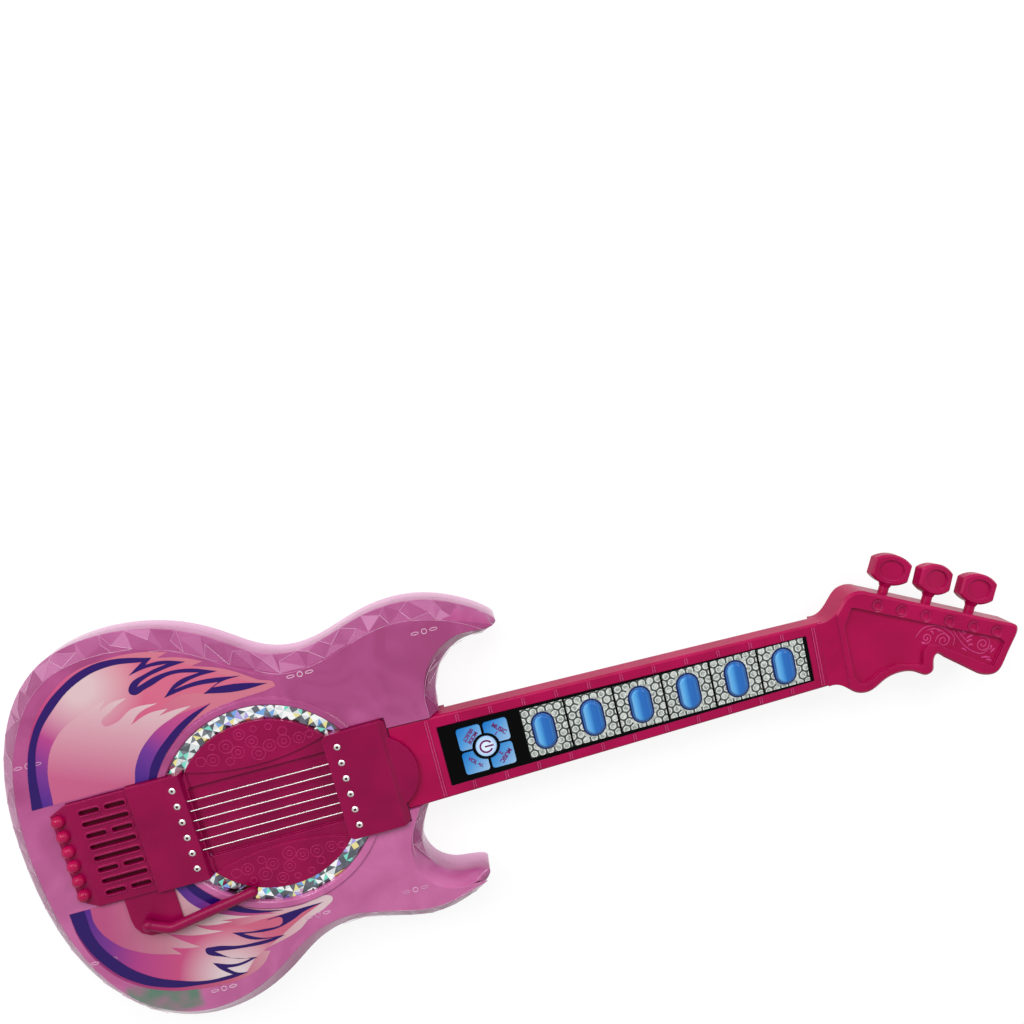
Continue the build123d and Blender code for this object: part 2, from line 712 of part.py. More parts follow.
def control_holes():
    """Holes for the keys, the pads and the power button."""
    with BuildSketch(mode=Mode.PRIVATE) as holes:
        with Locations(*[(x, 0) for x in key_xs]):
            SlotOverall(22.8, 13.2, rotation=90)
        for sides in pad_names.values():
            add(pad_face(*sides, grow=0.35))
        with Locations((power_x, 0)):
            Circle(6.65)
    return holes.sketch


def overlay_face(extra=0.0):
    """Tapering control overlay on the neck."""
    low = 18.7 + extra
    high = 14.3 + extra
    with BuildSketch(mode=Mode.PRIVATE) as face:
        Polygon((overlay_start - extra, low), (overlay_start - extra, -low), (overlay_end + extra, -high),
                (overlay_end + extra, high), align=None)
    return face.sketch


fret_xs = [118.7 + 20.03 * i for i in range(11)]

with BuildPart() as neck_front_shell:
    with BuildSketch(Plane.XY.offset(neck_split)):
        add(neck_face(neck_start, neck_end))
    extrude(amount=neck_top - neck_split)
    top_edges = neck_front_shell.edges().filter_by_position(Axis.Z, neck_top - 0.01, neck_top + 0.01)
    fillet(top_edges.filter_by(lambda edge: edge.length > 100), 1.6)
    with BuildSketch(Plane.XY.offset(neck_split)):
        add(head_face())
    extrude(amount=rim_top - neck_split)
    head_rim = neck_front_shell.edges().filter_by(
        lambda e: abs(e.center().Z - rim_top) < 0.01 and e.center().X > neck_end
    )
    chamfer(head_rim, 1.4)
    # slope up from the neck to the headstock
    with BuildSketch(Plane.XZ.offset(-40)):
        Polygon(
            (neck_end - 6, neck_top), (354, rim_top - 0.8), (354, rim_top + 2), (neck_end - 6, rim_top + 2),
            align=None,
        )
    extrude(amount=80, mode=Mode.SUBTRACT)
    # recessed headstock face, and the sloping strip beside the tuners
    with BuildSketch(Plane.XY.offset(head_floor)):
        add(head_recess())
    extrude(amount=5, mode=Mode.SUBTRACT)
    # six dimples in the strip
    for dimple in range(6):
        centre = edge_point(8.4 + 15.9 * dimple, -6.6)
        with Locations((centre.X, centre.Y, rim_top + 5.6)):
            Sphere(7.0, mode=Mode.SUBTRACT)
    # root under the neck block
    with BuildSketch(Plane.XY.offset(neck_split)):
        with Locations(((root_start + neck_start + 1) / 2, 0)):
            Rectangle(neck_start + 1 - root_start, 44)
    extrude(amount=27.6 - neck_split)
    # hollow
    with BuildSketch(Plane.XY.offset(neck_split)):
        add(neck_face(100, 336, 2.6))
        add(head_hollow())
        with Locations(*neck_post_points):
            Circle(3.2, mode=Mode.SUBTRACT)
    extrude(amount=neck_ceiling - neck_split, mode=Mode.SUBTRACT)
    with BuildSketch(Plane.XY.offset(neck_split)):
        with Locations((58, 0), (86, 0)):
            Rectangle(20, 38)
        with Locations(*root_screw_points):
            Circle(3.4, mode=Mode.SUBTRACT)
    extrude(amount=25.6 - neck_split, mode=Mode.SUBTRACT)
    # seat for the overlay, control holes and the two rows of fret bars
    with BuildSketch(Plane.XY.offset(overlay_seat)):
        add(overlay_face(0.3))
    extrude(amount=2, mode=Mode.SUBTRACT)
    with BuildSketch(Plane.XY.offset(neck_ceiling - 1)):
        add(control_holes())
    extrude(amount=5, mode=Mode.SUBTRACT)
    with BuildSketch(Plane.XY.offset(neck_top - 0.2)):
        for x in fret_xs:
            for side in (-1, 1):
                low = 19.7 - 0.019 * (x - overlay_start)
                high = taper_half(x) - 1.8
                with Locations((x, side * (low + high) / 2)):
                    Rectangle(1.5, high - low)
        with Locations((100.2, 0)):
            Rectangle(1.6, 2 * taper_half(100) - 3.6)
        with Locations((338.6, 0)):
            Rectangle(1.6, 2 * taper_half(338) - 3.6)
    extrude(amount=0.7)
    # screw holes
    with BuildSketch(Plane.XY.offset(neck_split)):
        with Locations(*neck_post_points):
            Circle(1.15)
        with Locations(*root_screw_points):
            Circle(1.5)
    extrude(amount=4.0, mode=Mode.SUBTRACT)
    add(tuner_bores.part, mode=Mode.SUBTRACT)
neck_front_shell.part.label = "neck_front_shell"
export_step(neck_front_shell.part, "parts/neck_front_shell.step")

with BuildPart() as control_overlay:
    with BuildSketch(Plane.XY.offset(overlay_seat)):
        add(overlay_face())
        add(control_holes(), mode=Mode.SUBTRACT)
    extrude(amount=overlay_top - overlay_seat)
control_overlay.part.label = "control_overlay"
export_step(control_overlay.part, "parts/control_overlay.step")

# ---------------------------------------------------------------- keys, pads and power button
flange_top = neck_ceiling - 0.4
flange_height = 1.1
contact_z = board_z + 1.6 + 0.2 + gap


def stem(x, y, travel):
    """Stem under a key, ending a gap above the contacts when the key is down."""
    with BuildPart(mode=Mode.PRIVATE) as post:
        with BuildSketch(Plane.XY.offset(contact_z + travel)):
            with Locations((x, y)):
                Circle(2.0)
        extrude(amount=flange_top - contact_z - travel)
    return post.part


for number, key_x in enumerate(key_xs, start=1):
    with BuildPart() as key:
        with BuildSketch(Plane.XY.offset(flange_top)):
            with Locations((key_x, 0)):
                SlotOverall(22.0, 12.4, rotation=90)
        extrude(amount=overlay_top + 0.7 - flange_top)
        with BuildSketch(Plane.XY.offset(overlay_top + 0.7)):
            with Locations((key_x, 0)):
                SlotOverall(20.0, 10.0, rotation=90)
        extrude(amount=1.3)
        fillet(key.faces().sort_by(Axis.Z)[-1].edges(), 1.0)
        with BuildSketch(Plane.XY.offset(flange_top)):
            with Locations((key_x, 0)):
                SlotOverall(24.4, 14.8, rotation=90)
        extrude(amount=-flange_height)
        add(stem(key_x, 0, key_travel))
    key.part.label = f"key_{number}"
    export_step(key.part, f"parts/key_{number}.step")

for pad_name, (side_x, side_y) in pad_names.items():
    with BuildPart() as pad:
        with BuildSketch(Plane.XY.offset(flange_top)):
            add(pad_face(side_x, side_y))
        extrude(amount=overlay_top + 0.6 - flange_top)
        # flange that reaches past the hole on the two outer sides
        with BuildSketch(Plane.XY.offset(flange_top)):
            with Locations((power_x + side_x * (pad_x + 1.1), side_y * (pad_y + 1.1))):
                Rectangle(pad_length - 0.2, pad_width - 0.2)
            with Locations((power_x, 0)):
                Circle(8.6, mode=Mode.SUBTRACT)
        extrude(amount=-flange_height)
        add(stem(power_x + side_x * (pad_x + 1), side_y * (pad_y + 1), pad_travel))
    pad.part.label = pad_name
    export_step(pad.part, f"parts/{pad_name}.step")

with BuildPart() as power_button:
    with BuildSketch(Plane.XY.offset(flange_top)):
        with Locations((power_x, 0)):
            Circle(6.3)
    extrude(amount=overlay_top + 0.9 - flange_top)
    fillet(power_button.faces().sort_by(Axis.Z)[-1].edges(), 0.5)
    with BuildSketch(Plane.XY.offset(flange_top)):
        with Locations((power_x, 0)):
            Circle(7.4)
    extrude(amount=-flange_height)
    add(stem(power_x, 0, pad_travel))
power_button.part.label = "power_button"
export_step(power_button.part, "parts/power_button.step")

# ---------------------------------------------------------------- key board, contacts and main board
board_half = 11.0
with BuildPart() as key_board:
    with BuildSketch(Plane.XY.offset(board_z)):
        with Locations((221.5, 0)):
            Rectangle(227, 2 * board_half)
        with Locations((power_x, 0)):
            Rectangle(36, 26)
        with Locations(*[(x, 0) for x in board_post_xs]):
            Circle(0.95, mode=Mode.SUBTRACT)
    extrude(amount=1.6)
key_board.part.label = "key_board"
export_step(key_board.part, "parts/key_board.step")

with BuildPart() as contact_sheet:
    with BuildSketch(Plane.XY.offset(board_z + 1.6)):
        with Locations(((key_first + key_xs[-1]) / 2, 0)):
            Rectangle(key_xs[-1] - key_first + 16, 16)
        with Locations((power_x, 0)):
            Rectangle(34, 25)
        with Locations(((key_first + power_x) / 2, 0)):
            Rectangle(20, 6)
        with Locations(*[(x, 0) for x in board_post_xs]):
            Circle(2.4, mode=Mode.SUBTRACT)
    extrude(amount=0.2)
contact_sheet.part.label = "contact_sheet"
export_step(contact_sheet.part, "parts/contact_sheet.step")

with BuildPart() as board_screws:
    with BuildSketch(Plane.XY.offset(board_z + 1.6)):
        with Locations(*[(x, 0) for x in board_post_xs]):
            Circle(1.9)
    extrude(amount=1.0)
    with BuildSketch(Plane.XY.offset(board_z + 1.6)):
        with Locations(*[(x, 0) for x in board_post_xs]):
            Circle(0.8)
    extrude(amount=-5.0)
board_screws.part.label = "board_screws"
export_step(board_screws.part, "parts/board_screws.step")

main_board_turn = -31.0
main_board_centre = (-87.0, -96.0)
main_board_z = 17.0
with BuildPart() as main_board:
    with BuildSketch(Plane.XY.offset(main_board_z)):
        with Locations(Location((*main_board_centre, 0), (0, 0, main_board_turn))):
            RectangleRounded(42, 32, 1.5)
    extrude(amount=1.6)
    # sound chip, capacitor and connector on its lower side
    with BuildSketch(Plane.XY.offset(main_board_z)):
        with Locations(Location((*main_board_centre, 0), (0, 0, main_board_turn))):
            with Locations((-6, 2)):
                Rectangle(12, 9)
            with Locations((12, -6)):
                Rectangle(9, 6)
            with Locations((11, 8)):
                Circle(3.2)
    extrude(amount=-3.5)
main_board.part.label = "main_board"
export_step(main_board.part, "parts/main_board.step")

with BuildPart() as board_stand:
    with BuildSketch(Plane.XY.offset(wall)):
        with Locations(Location((*main_board_centre, 0), (0, 0, main_board_turn))):
            with GridLocations(36, 26, 2, 2):
                Circle(2.2)
            Rectangle(36, 2)
    extrude(amount=3.0)
    with BuildSketch(Plane.XY.offset(wall + 3.0)):
        with Locations(Location((*main_board_centre, 0), (0, 0, main_board_turn))):
            with GridLocations(36, 26, 2, 2):
                Circle(2.2)
    extrude(amount=main_board_z - wall - 3.0)
    with BuildSketch(Plane.XY.offset(wall)):
        with Locations(Location((*main_board_centre, 0), (0, 0, main_board_turn))):
            with GridLocations(36, 0.1, 2, 1):
                Rectangle(2, 26)
    extrude(amount=3.0)
board_stand.part.label = "board_stand"
export_step(board_stand.part, "parts/board_stand.step")

with BuildPart() as leds:
    for led_x, led_y in led_points:
        with Locations((led_x, led_y, wall + 6.0)):
            Cylinder(2.9, 1.0, align=(Align.CENTER, Align.CENTER, Align.MIN))
            Cylinder(2.5, 6.0, align=(Align.CENTER, Align.CENTER, Align.MIN))
        with Locations((led_x, led_y, wall + 12.0)):
            Sphere(2.5)
leds.part.label = "leds"
export_step(leds.part, "parts/leds.step")

# ---------------------------------------------------------------- speaker
speaker_top = seat_under
speaker_radius = 28.5
speaker_plane = Plane(origin=(speaker_x, 0, 0), x_dir=(1, 0, 0), z_dir=(0, -1, 0))
speaker_axis = Axis((speaker_x, 0, 0), (0, 0, 1))

with BuildPart() as speaker_frame:
    with BuildSketch(speaker_plane):
        with BuildLine():
            Polyline(
                (22.8, speaker_top), (speaker_radius, speaker_top), (speaker_radius, speaker_top - 1.2),
                (24.1, speaker_top - 1.2), (17.0, 15.0), (17.0, 13.8), (6.0, 13.8), (6.0, 14.8),
                (15.9, 14.8), (22.8, speaker_top - 1.4), close=True,
            )
        make_face()
    revolve(axis=speaker_axis)
    with BuildSketch(Plane.XY.offset(speaker_top - 1.5)):
        with Locations(*speaker_screw_points):
            Circle(1.15)
    extrude(amount=2, mode=Mode.SUBTRACT)
speaker_frame.part.label = "speaker_frame"
export_step(speaker_frame.part, "parts/speaker_frame.step")

with BuildPart() as speaker_magnet:
    with BuildSketch(Plane.XY.offset(6.2)):
        with Locations((speaker_x, 0)):
            Circle(16.0)
    extrude(amount=7.6)
    chamfer(speaker_magnet.edges(), 0.6)
    with BuildSketch(Plane.XY.offset(13.8)):
        with Locations((speaker_x, 0)):
            Circle(5.6)
    extrude(amount=3.0)
speaker_magnet.part.label = "speaker_magnet"
export_step(speaker_magnet.part, "parts/speaker_magnet.step")

with BuildPart() as speaker_cone:
    with BuildSketch(speaker_plane):
        with BuildLine():
            Polyline(
                (0, 19.4), (8.0, 17.6), (21.6, 26.0), (22.5, 27.2), (21.8, 27.6), (20.6, 26.6), (8.2, 18.7),
                (5.0, 20.6), (0, 21.6), close=True,
            )
        make_face()
    revolve(axis=speaker_axis)
speaker_cone.part.label = "speaker_cone"
export_step(speaker_cone.part, "parts/speaker_cone.step")

speaker_screws = screw_group(speaker_screw_points, speaker_top - 2.7, 2.1, 1.5, 1.0, 2.8)
speaker_screws.part.label = "speaker_screws"
export_step(speaker_screws.part, "parts/speaker_screws.step")

# ---------------------------------------------------------------- battery bay
cell_radius = 7.1
cell_length = 49.2
cell_ys = [bay_y - 15.4, bay_y, bay_y + 15.4]
cell_z = 9.8
box_top = 18.6
tab_xs = (bay_x - 17, bay_x + 17)

with BuildPart() as battery_box:
    with BuildSketch(Plane.XY.offset(wall)):
        with Locations((bay_x, bay_y)):
            RectangleRounded(bay_length + 5, bay_width + 5, 2)
        with Locations((bay_x, door_screw_y)):
            Rectangle(door_ear_width + 4, door_ear + 4)
    extrude(amount=box_top - wall)
    with BuildSketch(Plane.XY.offset(wall)):
        with Locations((bay_x, bay_y)):
            RectangleRounded(bay_length + 2, bay_width + 2, 1)
    extrude(amount=box_top - wall - 1.4, mode=Mode.SUBTRACT)
    # hole for the door screw
    with BuildSketch(Plane.XY.offset(wall)):
        with Locations((bay_x, door_screw_y)):
            Circle(2.3)
    extrude(amount=8.0, mode=Mode.SUBTRACT)
    # room for the door tabs
    with BuildSketch(Plane.XY.offset(wall)):
        with Locations(*[(x, hinge_y - 2) for x in tab_xs]):
            Rectangle(10, 7)
    extrude(amount=3.4, mode=Mode.SUBTRACT)
battery_box.part.label = "battery_box"
export_step(battery_box.part, "parts/battery_box.step")

with BuildPart() as batteries:
    for row, cell_y in enumerate(cell_ys):
        facing = 1 if row % 2 == 0 else -1
        with BuildSketch(Plane.YZ.offset(bay_x - cell_length / 2)):
            with Locations((cell_y, cell_z)):
                Circle(cell_radius)
        extrude(amount=cell_length)
        nub_plane = Plane(origin=(bay_x + facing * cell_length / 2, cell_y, cell_z), z_dir=(facing, 0, 0))
        with BuildSketch(nub_plane):
            Circle(2.7)
        extrude(amount=1.2)
batteries.part.label = "batteries"
export_step(batteries.part, "parts/batteries.step")

with BuildPart() as battery_contacts:
    for row, cell_y in enumerate(cell_ys):
        facing = 1 if row % 2 == 0 else -1
        for end in (-1, 1):
            face_x = bay_x + end * (bay_length / 2 + 1)
            with BuildSketch(Plane(origin=(face_x, cell_y, cell_z), z_dir=(-end, 0, 0), x_dir=(0, 1, 0))):
                RectangleRounded(11, 10, 1)
            extrude(amount=0.4)
            if end != facing:
                # coil spring at the flat end, as its outer cone
                with BuildSketch(Plane(origin=(face_x - end * 0.4, cell_y, cell_z), z_dir=(-end, 0, 0))):
                    Circle(4.0)
                extrude(amount=2.3, taper=20)
battery_contacts.part.label = "battery_contacts"
export_step(battery_contacts.part, "parts/battery_contacts.step")

door_thick = 1.8
with BuildPart() as battery_door:
    with BuildSketch():
        with Locations((bay_x, bay_y)):
            Rectangle(bay_length - 2 * gap, bay_width - 2 * gap)
        with Locations((bay_x, door_screw_y - gap)):
            Rectangle(door_ear_width - 2 * gap, door_ear)
    extrude(amount=door_thick)
    # grip ribs
    with BuildSketch():
        with Locations((bay_x, bay_y + 12)):
            with GridLocations(1, 2.4, 1, 5):
                Rectangle(22, 1.0)
    extrude(amount=0.5, mode=Mode.SUBTRACT)
    # tabs that hook behind the shell
    with BuildSketch(Plane.XY.offset(door_thick)):
        with Locations(*[(x, hinge_y + 0.9) for x in tab_xs]):
            Rectangle(7, 1.8)
    extrude(amount=1.8)
    with BuildSketch(Plane.XY.offset(wall + gap)):
        with Locations(*[(x, hinge_y - 0.8) for x in tab_xs]):
            Rectangle(7, 3.0)
    extrude(amount=door_thick + 1.8 - wall - gap)
    with BuildSketch():
        with Locations((bay_x, door_screw_y)):
            Circle(2.9)
    extrude(amount=1.0, mode=Mode.SUBTRACT)
    with BuildSketch():
        with Locations((bay_x, door_screw_y)):
            Circle(1.4)
    extrude(amount=door_thick, mode=Mode.SUBTRACT)
battery_door.part.label = "battery_door"
export_step(battery_door.part, "parts/battery_door.step")

door_screw = screw_group([(bay_x, door_screw_y)], 0.1, 2.6, 0.9, 1.3, 5.0)
door_screw.part.label = "door_screw"
export_step(door_screw.part, "parts/door_screw.step")

# ---------------------------------------------------------------- case screws
body_screws = screw_group(body_screw_points, 3.9, 2.9, 2.1, 1.4, 16.0)
body_screws.part.label = "body_screws"
export_step(body_screws.part, "parts/body_screws.step")

root_screws = screw_group(root_screw_points, 3.9, 2.9, 2.1, 1.4, 18.0)
root_screws.part.label = "root_screws"
export_step(root_screws.part, "parts/root_screws.step")

neck_screws = screw_group(neck_post_points, neck_screw_head_z, 2.4, 1.6, 1.05, 8.8)
neck_screws.part.label = "neck_screws"
export_step(neck_screws.part, "parts/neck_screws.step")

# ---------------------------------------------------------------- tuners
knob_half_length = 12.1
knob_half_width = 9.5
knob_thick = 8.0
knob_angles = (0.0, 14.0, 6.0)

for number, (step, angle) in enumerate(zip(tuner_steps, knob_angles), start=1):
    middle = edge_point(step, tuner_reach)
    # knob plane: local x along the headstock edge, local y outwards, turned about the shaft
    knob_plane = Plane(
        origin=(middle.X, middle.Y, neck_split), x_dir=(edge_along.X, edge_along.Y, 0), z_dir=(0, 0, 1)
    ).rotated((0, angle, 0))
    with BuildPart() as tuner:
        with BuildSketch(knob_plane.offset(-knob_thick / 2)):
            with BuildLine():
                outer = ThreePointArc(
                    (knob_half_length, 5.2), (0, knob_half_width), (-knob_half_length, 5.2)
                )
                left = Line(outer @ 1, (-knob_half_length, -5.2))
                inner = ThreePointArc(left @ 1, (0, -knob_half_width), (knob_half_length, -5.2))
                Line(inner @ 1, outer @ 0)
            make_face()
        extrude(amount=knob_thick)
        fillet(tuner.edges().group_by(SortBy.LENGTH)[0], 1.6)
        chamfer(tuner.faces().sort_by(Axis(knob_plane.location))[-1].edges(), 1.0)
        chamfer(tuner.faces().sort_by(Axis(knob_plane.location))[0].edges(), 1.0)
        for side in (-1, 1):
            with BuildSketch(knob_plane.offset(side * knob_thick / 2)):
                Ellipse(8.4, 6.2)
            extrude(amount=-side * 1.2, mode=Mode.SUBTRACT)
        shaft_plane = Plane(
            origin=(middle.X, middle.Y, neck_split), z_dir=(-edge_out.X, -edge_out.Y, 0), x_dir=(0, 0, 1)
        )
        # flared neck of the knob, shaft and the collar that keeps it in
        with BuildSketch(shaft_plane.offset(knob_half_width - 2)):
            Circle(4.6)
        extrude(amount=3.4, taper=22)
        with BuildSketch(shaft_plane.offset(knob_half_width - 2)):
            Circle(shaft_radius)
        extrude(amount=tuner_reach - knob_half_width + 2 + 10.4)
        with BuildSketch(shaft_plane.offset(tuner_reach + 7 + gap)):
            Circle(shaft_radius + 1.5)
        extrude(amount=1.6)
    tuner.part.label = f"tuner_{number}"
    export_step(tuner.part, f"parts/tuner_{number}.step")
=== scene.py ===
import json
import math
import random

import bmesh
import bpy
from mathutils import Matrix, Vector
from mathutils.bvhtree import BVHTree


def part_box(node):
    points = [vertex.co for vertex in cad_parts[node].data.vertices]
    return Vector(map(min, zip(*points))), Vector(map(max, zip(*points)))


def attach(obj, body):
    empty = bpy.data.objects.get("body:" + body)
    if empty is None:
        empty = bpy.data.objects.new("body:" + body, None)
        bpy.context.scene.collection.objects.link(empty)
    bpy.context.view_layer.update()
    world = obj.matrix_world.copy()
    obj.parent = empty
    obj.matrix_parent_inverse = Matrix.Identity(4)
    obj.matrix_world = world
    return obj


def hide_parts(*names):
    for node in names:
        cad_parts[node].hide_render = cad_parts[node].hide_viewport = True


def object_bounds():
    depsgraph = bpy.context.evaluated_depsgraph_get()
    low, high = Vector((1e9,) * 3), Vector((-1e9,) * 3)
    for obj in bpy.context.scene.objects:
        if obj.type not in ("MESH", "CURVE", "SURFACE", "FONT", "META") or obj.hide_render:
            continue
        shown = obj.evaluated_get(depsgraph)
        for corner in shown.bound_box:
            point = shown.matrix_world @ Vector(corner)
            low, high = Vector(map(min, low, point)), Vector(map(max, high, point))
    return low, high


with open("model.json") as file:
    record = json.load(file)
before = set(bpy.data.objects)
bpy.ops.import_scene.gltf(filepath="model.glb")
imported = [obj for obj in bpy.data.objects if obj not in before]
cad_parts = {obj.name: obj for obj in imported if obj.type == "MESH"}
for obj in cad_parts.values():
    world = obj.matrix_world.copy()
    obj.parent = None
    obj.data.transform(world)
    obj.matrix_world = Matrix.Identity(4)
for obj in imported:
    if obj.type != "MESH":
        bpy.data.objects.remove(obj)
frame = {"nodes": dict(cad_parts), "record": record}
cadLow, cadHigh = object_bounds()
mm = 0.001


def linear(hexColour):
    channels = [int(hexColour[i:i + 2], 16) / 255 for i in (1, 3, 5)]
    return [c / 12.92 if c <= 0.04045 else ((c + 0.055) / 1.055) ** 2.4 for c in channels] + [1.0]


def addNode(tree, kind, settings=None, links=None):
    node = tree.nodes.new("ShaderNode" + kind)
    for key, value in (settings or {}).items():
        if isinstance(key, int) or key in node.inputs:
            node.inputs[key].default_value = value
        else:
            setattr(node, key, value)
    for key, socket in (links or {}).items():
        tree.links.new(socket, node.inputs[key])
    return node


def newFinish(name, colour, **settings):
    material = bpy.data.materials.new(name)
    material.use_nodes = True
    tree = material.node_tree
    shader = tree.nodes["Principled BSDF"]
    shader.inputs["Base Color"].default_value = linear(colour)
    for key, value in settings.items():
        shader.inputs[key.replace("_", " ")].default_value = value
    return material, tree, shader


def setRamp(ramp, stops):
    elements = ramp.color_ramp.elements
    while len(elements) < len(stops):
        elements.new(0.5)
    for element, (place, colour) in zip(elements, stops):
        element.position = place
        element.color = linear(colour)


def shownDirectly(tree):
    # 1 for rays that come straight from the camera, or by way of metal or clear plastic
    rays = addNode(tree, "LightPath")
    seen = addNode(tree, "Math", {"operation": "MAXIMUM"},
                   {0: rays.outputs["Is Camera Ray"], 1: rays.outputs["Is Glossy Ray"]})
    seen = addNode(tree, "Math", {"operation": "MAXIMUM"},
                   {0: seen.outputs[0], 1: rays.outputs["Is Transmission Ray"]})
    return seen.outputs[0]


# camera and light
cameraPlan = {
    "place": (147.7, 233.7, 578.0),
    "right": (0.96746, -0.23321, 0.09819),
    "up": (0.24675, 0.95548, -0.16180),
    "lens": 34.2,
}


def makeCamera():
    data = bpy.data.cameras.new("viewCamera")
    data.lens = cameraPlan["lens"]
    data.sensor_width = 36
    data.clip_start = 0.01
    camera = bpy.data.objects.new("viewCamera", data)
    right = Vector(cameraPlan["right"]).normalized()
    up = Vector(cameraPlan["up"])
    up = (up - up.dot(right) * right).normalized()
    turn = Matrix((right, up, right.cross(up))).transposed()
    camera.matrix_world = Matrix.Translation(Vector(cameraPlan["place"]) * mm) @ turn.to_4x4()
    bpy.context.scene.collection.objects.link(camera)
    bpy.context.scene.camera = camera


lightPlan = {
    "centre": (150, 0, 20),
    # name: place in mm, size in mm, watts
    "softBoxLeft": ((-380, 560, 620), 420, 4.2),
    "softBoxTop": ((180, 760, 760), 500, 4.2),
    "softBoxRight": ((800, 380, 520), 360, 2.4),
    "worldStrength": 0.42,
}


def makeLights():
    for name in ("softBoxLeft", "softBoxTop", "softBoxRight"):
        place, size, watts = lightPlan[name]
        data = bpy.data.lights.new(name, "AREA")
        data.size = size * mm
        data.energy = watts
        lamp = bpy.data.objects.new(name, data)
        aim = (Vector(lightPlan["centre"]) - Vector(place)).to_track_quat("-Z", "Y")
        lamp.matrix_world = Matrix.Translation(Vector(place) * mm) @ aim.to_matrix().to_4x4()
        bpy.context.scene.collection.objects.link(lamp)
    world = bpy.data.worlds.new("studio")
    bpy.context.scene.world = world
    world.use_nodes = True
    tree = world.node_tree
    tree.nodes.clear()
    lit = addNode(tree, "Background", {"Color": (1, 1, 1, 1), "Strength": lightPlan["worldStrength"]})
    shown = addNode(tree, "Background", {"Color": (1, 1, 1, 1), "Strength": 1.0})
    mixed = addNode(tree, "MixShader", {}, {0: shownDirectly(tree), 1: lit.outputs[0], 2: shown.outputs[0]})
    addNode(tree, "OutputWorld", {}, {0: mixed.outputs[0]})


floorPlan = {"half": 3000, "gap": 0.4, "card": "#f4f4f4", "glow": 1.06, "glowShare": 0.82}


def makeFloor():
    data = bpy.data.meshes.new("paleFloor")
    edge = floorPlan["half"] * mm
    corners = [(-edge, -edge, 0), (edge, -edge, 0), (edge, edge, 0), (-edge, edge, 0)]
    data.from_pydata(corners, [], [(0, 1, 2, 3)])
    floor = bpy.data.objects.new("paleFloor", data)
    floor.location.z = cadLow.z - floorPlan["gap"] * mm
    bpy.context.scene.collection.objects.link(floor)
    material = bpy.data.materials.new("paleCardboard")  # pale card: even, with a faint soft shadow
    material.use_nodes = True
    tree = material.node_tree
    tree.nodes.clear()
    share = addNode(tree, "Math", {"operation": "MULTIPLY", 1: floorPlan["glowShare"]},
                    {0: shownDirectly(tree)})
    card = addNode(tree, "BsdfDiffuse", {"Color": linear(floorPlan["card"])})
    glow = addNode(tree, "Emission", {"Color": (1, 1, 1, 1), "Strength": floorPlan["glow"]})
    mixed = addNode(tree, "MixShader", {}, {0: share.outputs[0], 1: card.outputs[0], 2: glow.outputs[0]})
    addNode(tree, "OutputMaterial", {}, {0: mixed.outputs[0]})
    data.materials.append(material)


makeCamera()
makeLights()
makeFloor()
bpy.context.scene.view_settings.view_transform = "Standard"
print("stage ready")


# plastics
def makeMagentaAbs(name, low, high, paintedEdgeHighlight, roughness=0.32):
    # ABS moulded with a satin texture: deep magenta, with a painted highlight along its edges, where the
    # rounded normal leans away from the true one
    material, tree, shader = newFinish(name, low, Roughness=roughness, IOR=1.53, Specular_IOR_Level=0.14)
    place = addNode(tree, "TexCoord").outputs["Object"]
    drift = addNode(tree, "TexNoise", {"Scale": 45.0, "Detail": 2.0}, {"Vector": place})  # about 22 mm
    ramp = addNode(tree, "ValToRGB", {}, {"Fac": drift.outputs["Fac"]})
    setRamp(ramp, [(0.3, low), (0.7, high)])
    edges = addNode(tree, "Bevel", {"samples": 4, "Radius": 0.6 * mm})
    flat = addNode(tree, "NewGeometry")
    same = addNode(tree, "VectorMath", {"operation": "DOT_PRODUCT"},
                   {0: edges.outputs["Normal"], 1: flat.outputs["Normal"]})
    # painted highlight: mask of the edges, mixed towards the pale highlight colour
    share = addNode(tree, "MapRange", {1: 0.97, 2: 0.7}, {0: same.outputs["Value"]})
    tone = addNode(tree, "MixRGB", {2: linear(paintedEdgeHighlight)}, {0: share.outputs[0], 1: ramp.outputs["Color"]})
    tree.links.new(tone.outputs[0], shader.inputs["Base Color"])
    grain = addNode(tree, "TexNoise", {"Scale": 1400.0, "Detail": 1.0}, {"Vector": place})  # 0.7 mm texture
    bump = addNode(tree, "Bump", {"Strength": 0.06, "Distance": 0.0002},
                   {"Height": grain.outputs["Fac"], "Normal": edges.outputs["Normal"]})
    tree.links.new(bump.outputs["Normal"], shader.inputs["Normal"])
    return material


def makePlainPlastic(name, colour, roughness, edgeRadius=0.0004, **settings):
    material, tree, shader = newFinish(name, colour, Roughness=roughness, **settings)
    place = addNode(tree, "TexCoord").outputs["Object"]
    grain = addNode(tree, "TexNoise", {"Scale": 900.0, "Detail": 1.0}, {"Vector": place})  # 1.1 mm texture
    edges = addNode(tree, "Bevel", {"samples": 4, "Radius": edgeRadius})
    bump = addNode(tree, "Bump", {"Strength": 0.05, "Distance": 0.0002},
                   {"Height": grain.outputs["Fac"], "Normal": edges.outputs["Normal"]})
    tree.links.new(bump.outputs["Normal"], shader.inputs["Normal"])
    return material


clearPlan = {
    # painted shade: the face runs from the light pair at lightY to the dark pair at darkY
    "dark": ("#9c3872", "#b04a88"),
    "light": ("#bc5a94", "#ce6ca6"),
    "rim": ("#a4447e", "#b86298"),
    # pale colour of the painted sheen on the side wall
    "edge": "#dca6c8",
    "lightY": -45,
    "darkY": 50,
    "backZ": 4,
    "footZ": 22.5,
    "faceZ": 31.8,
    "boardTint": "#5d7f6c",
    "boardLow": (-113, -113),
    "boardHigh": (-72, -89),
}


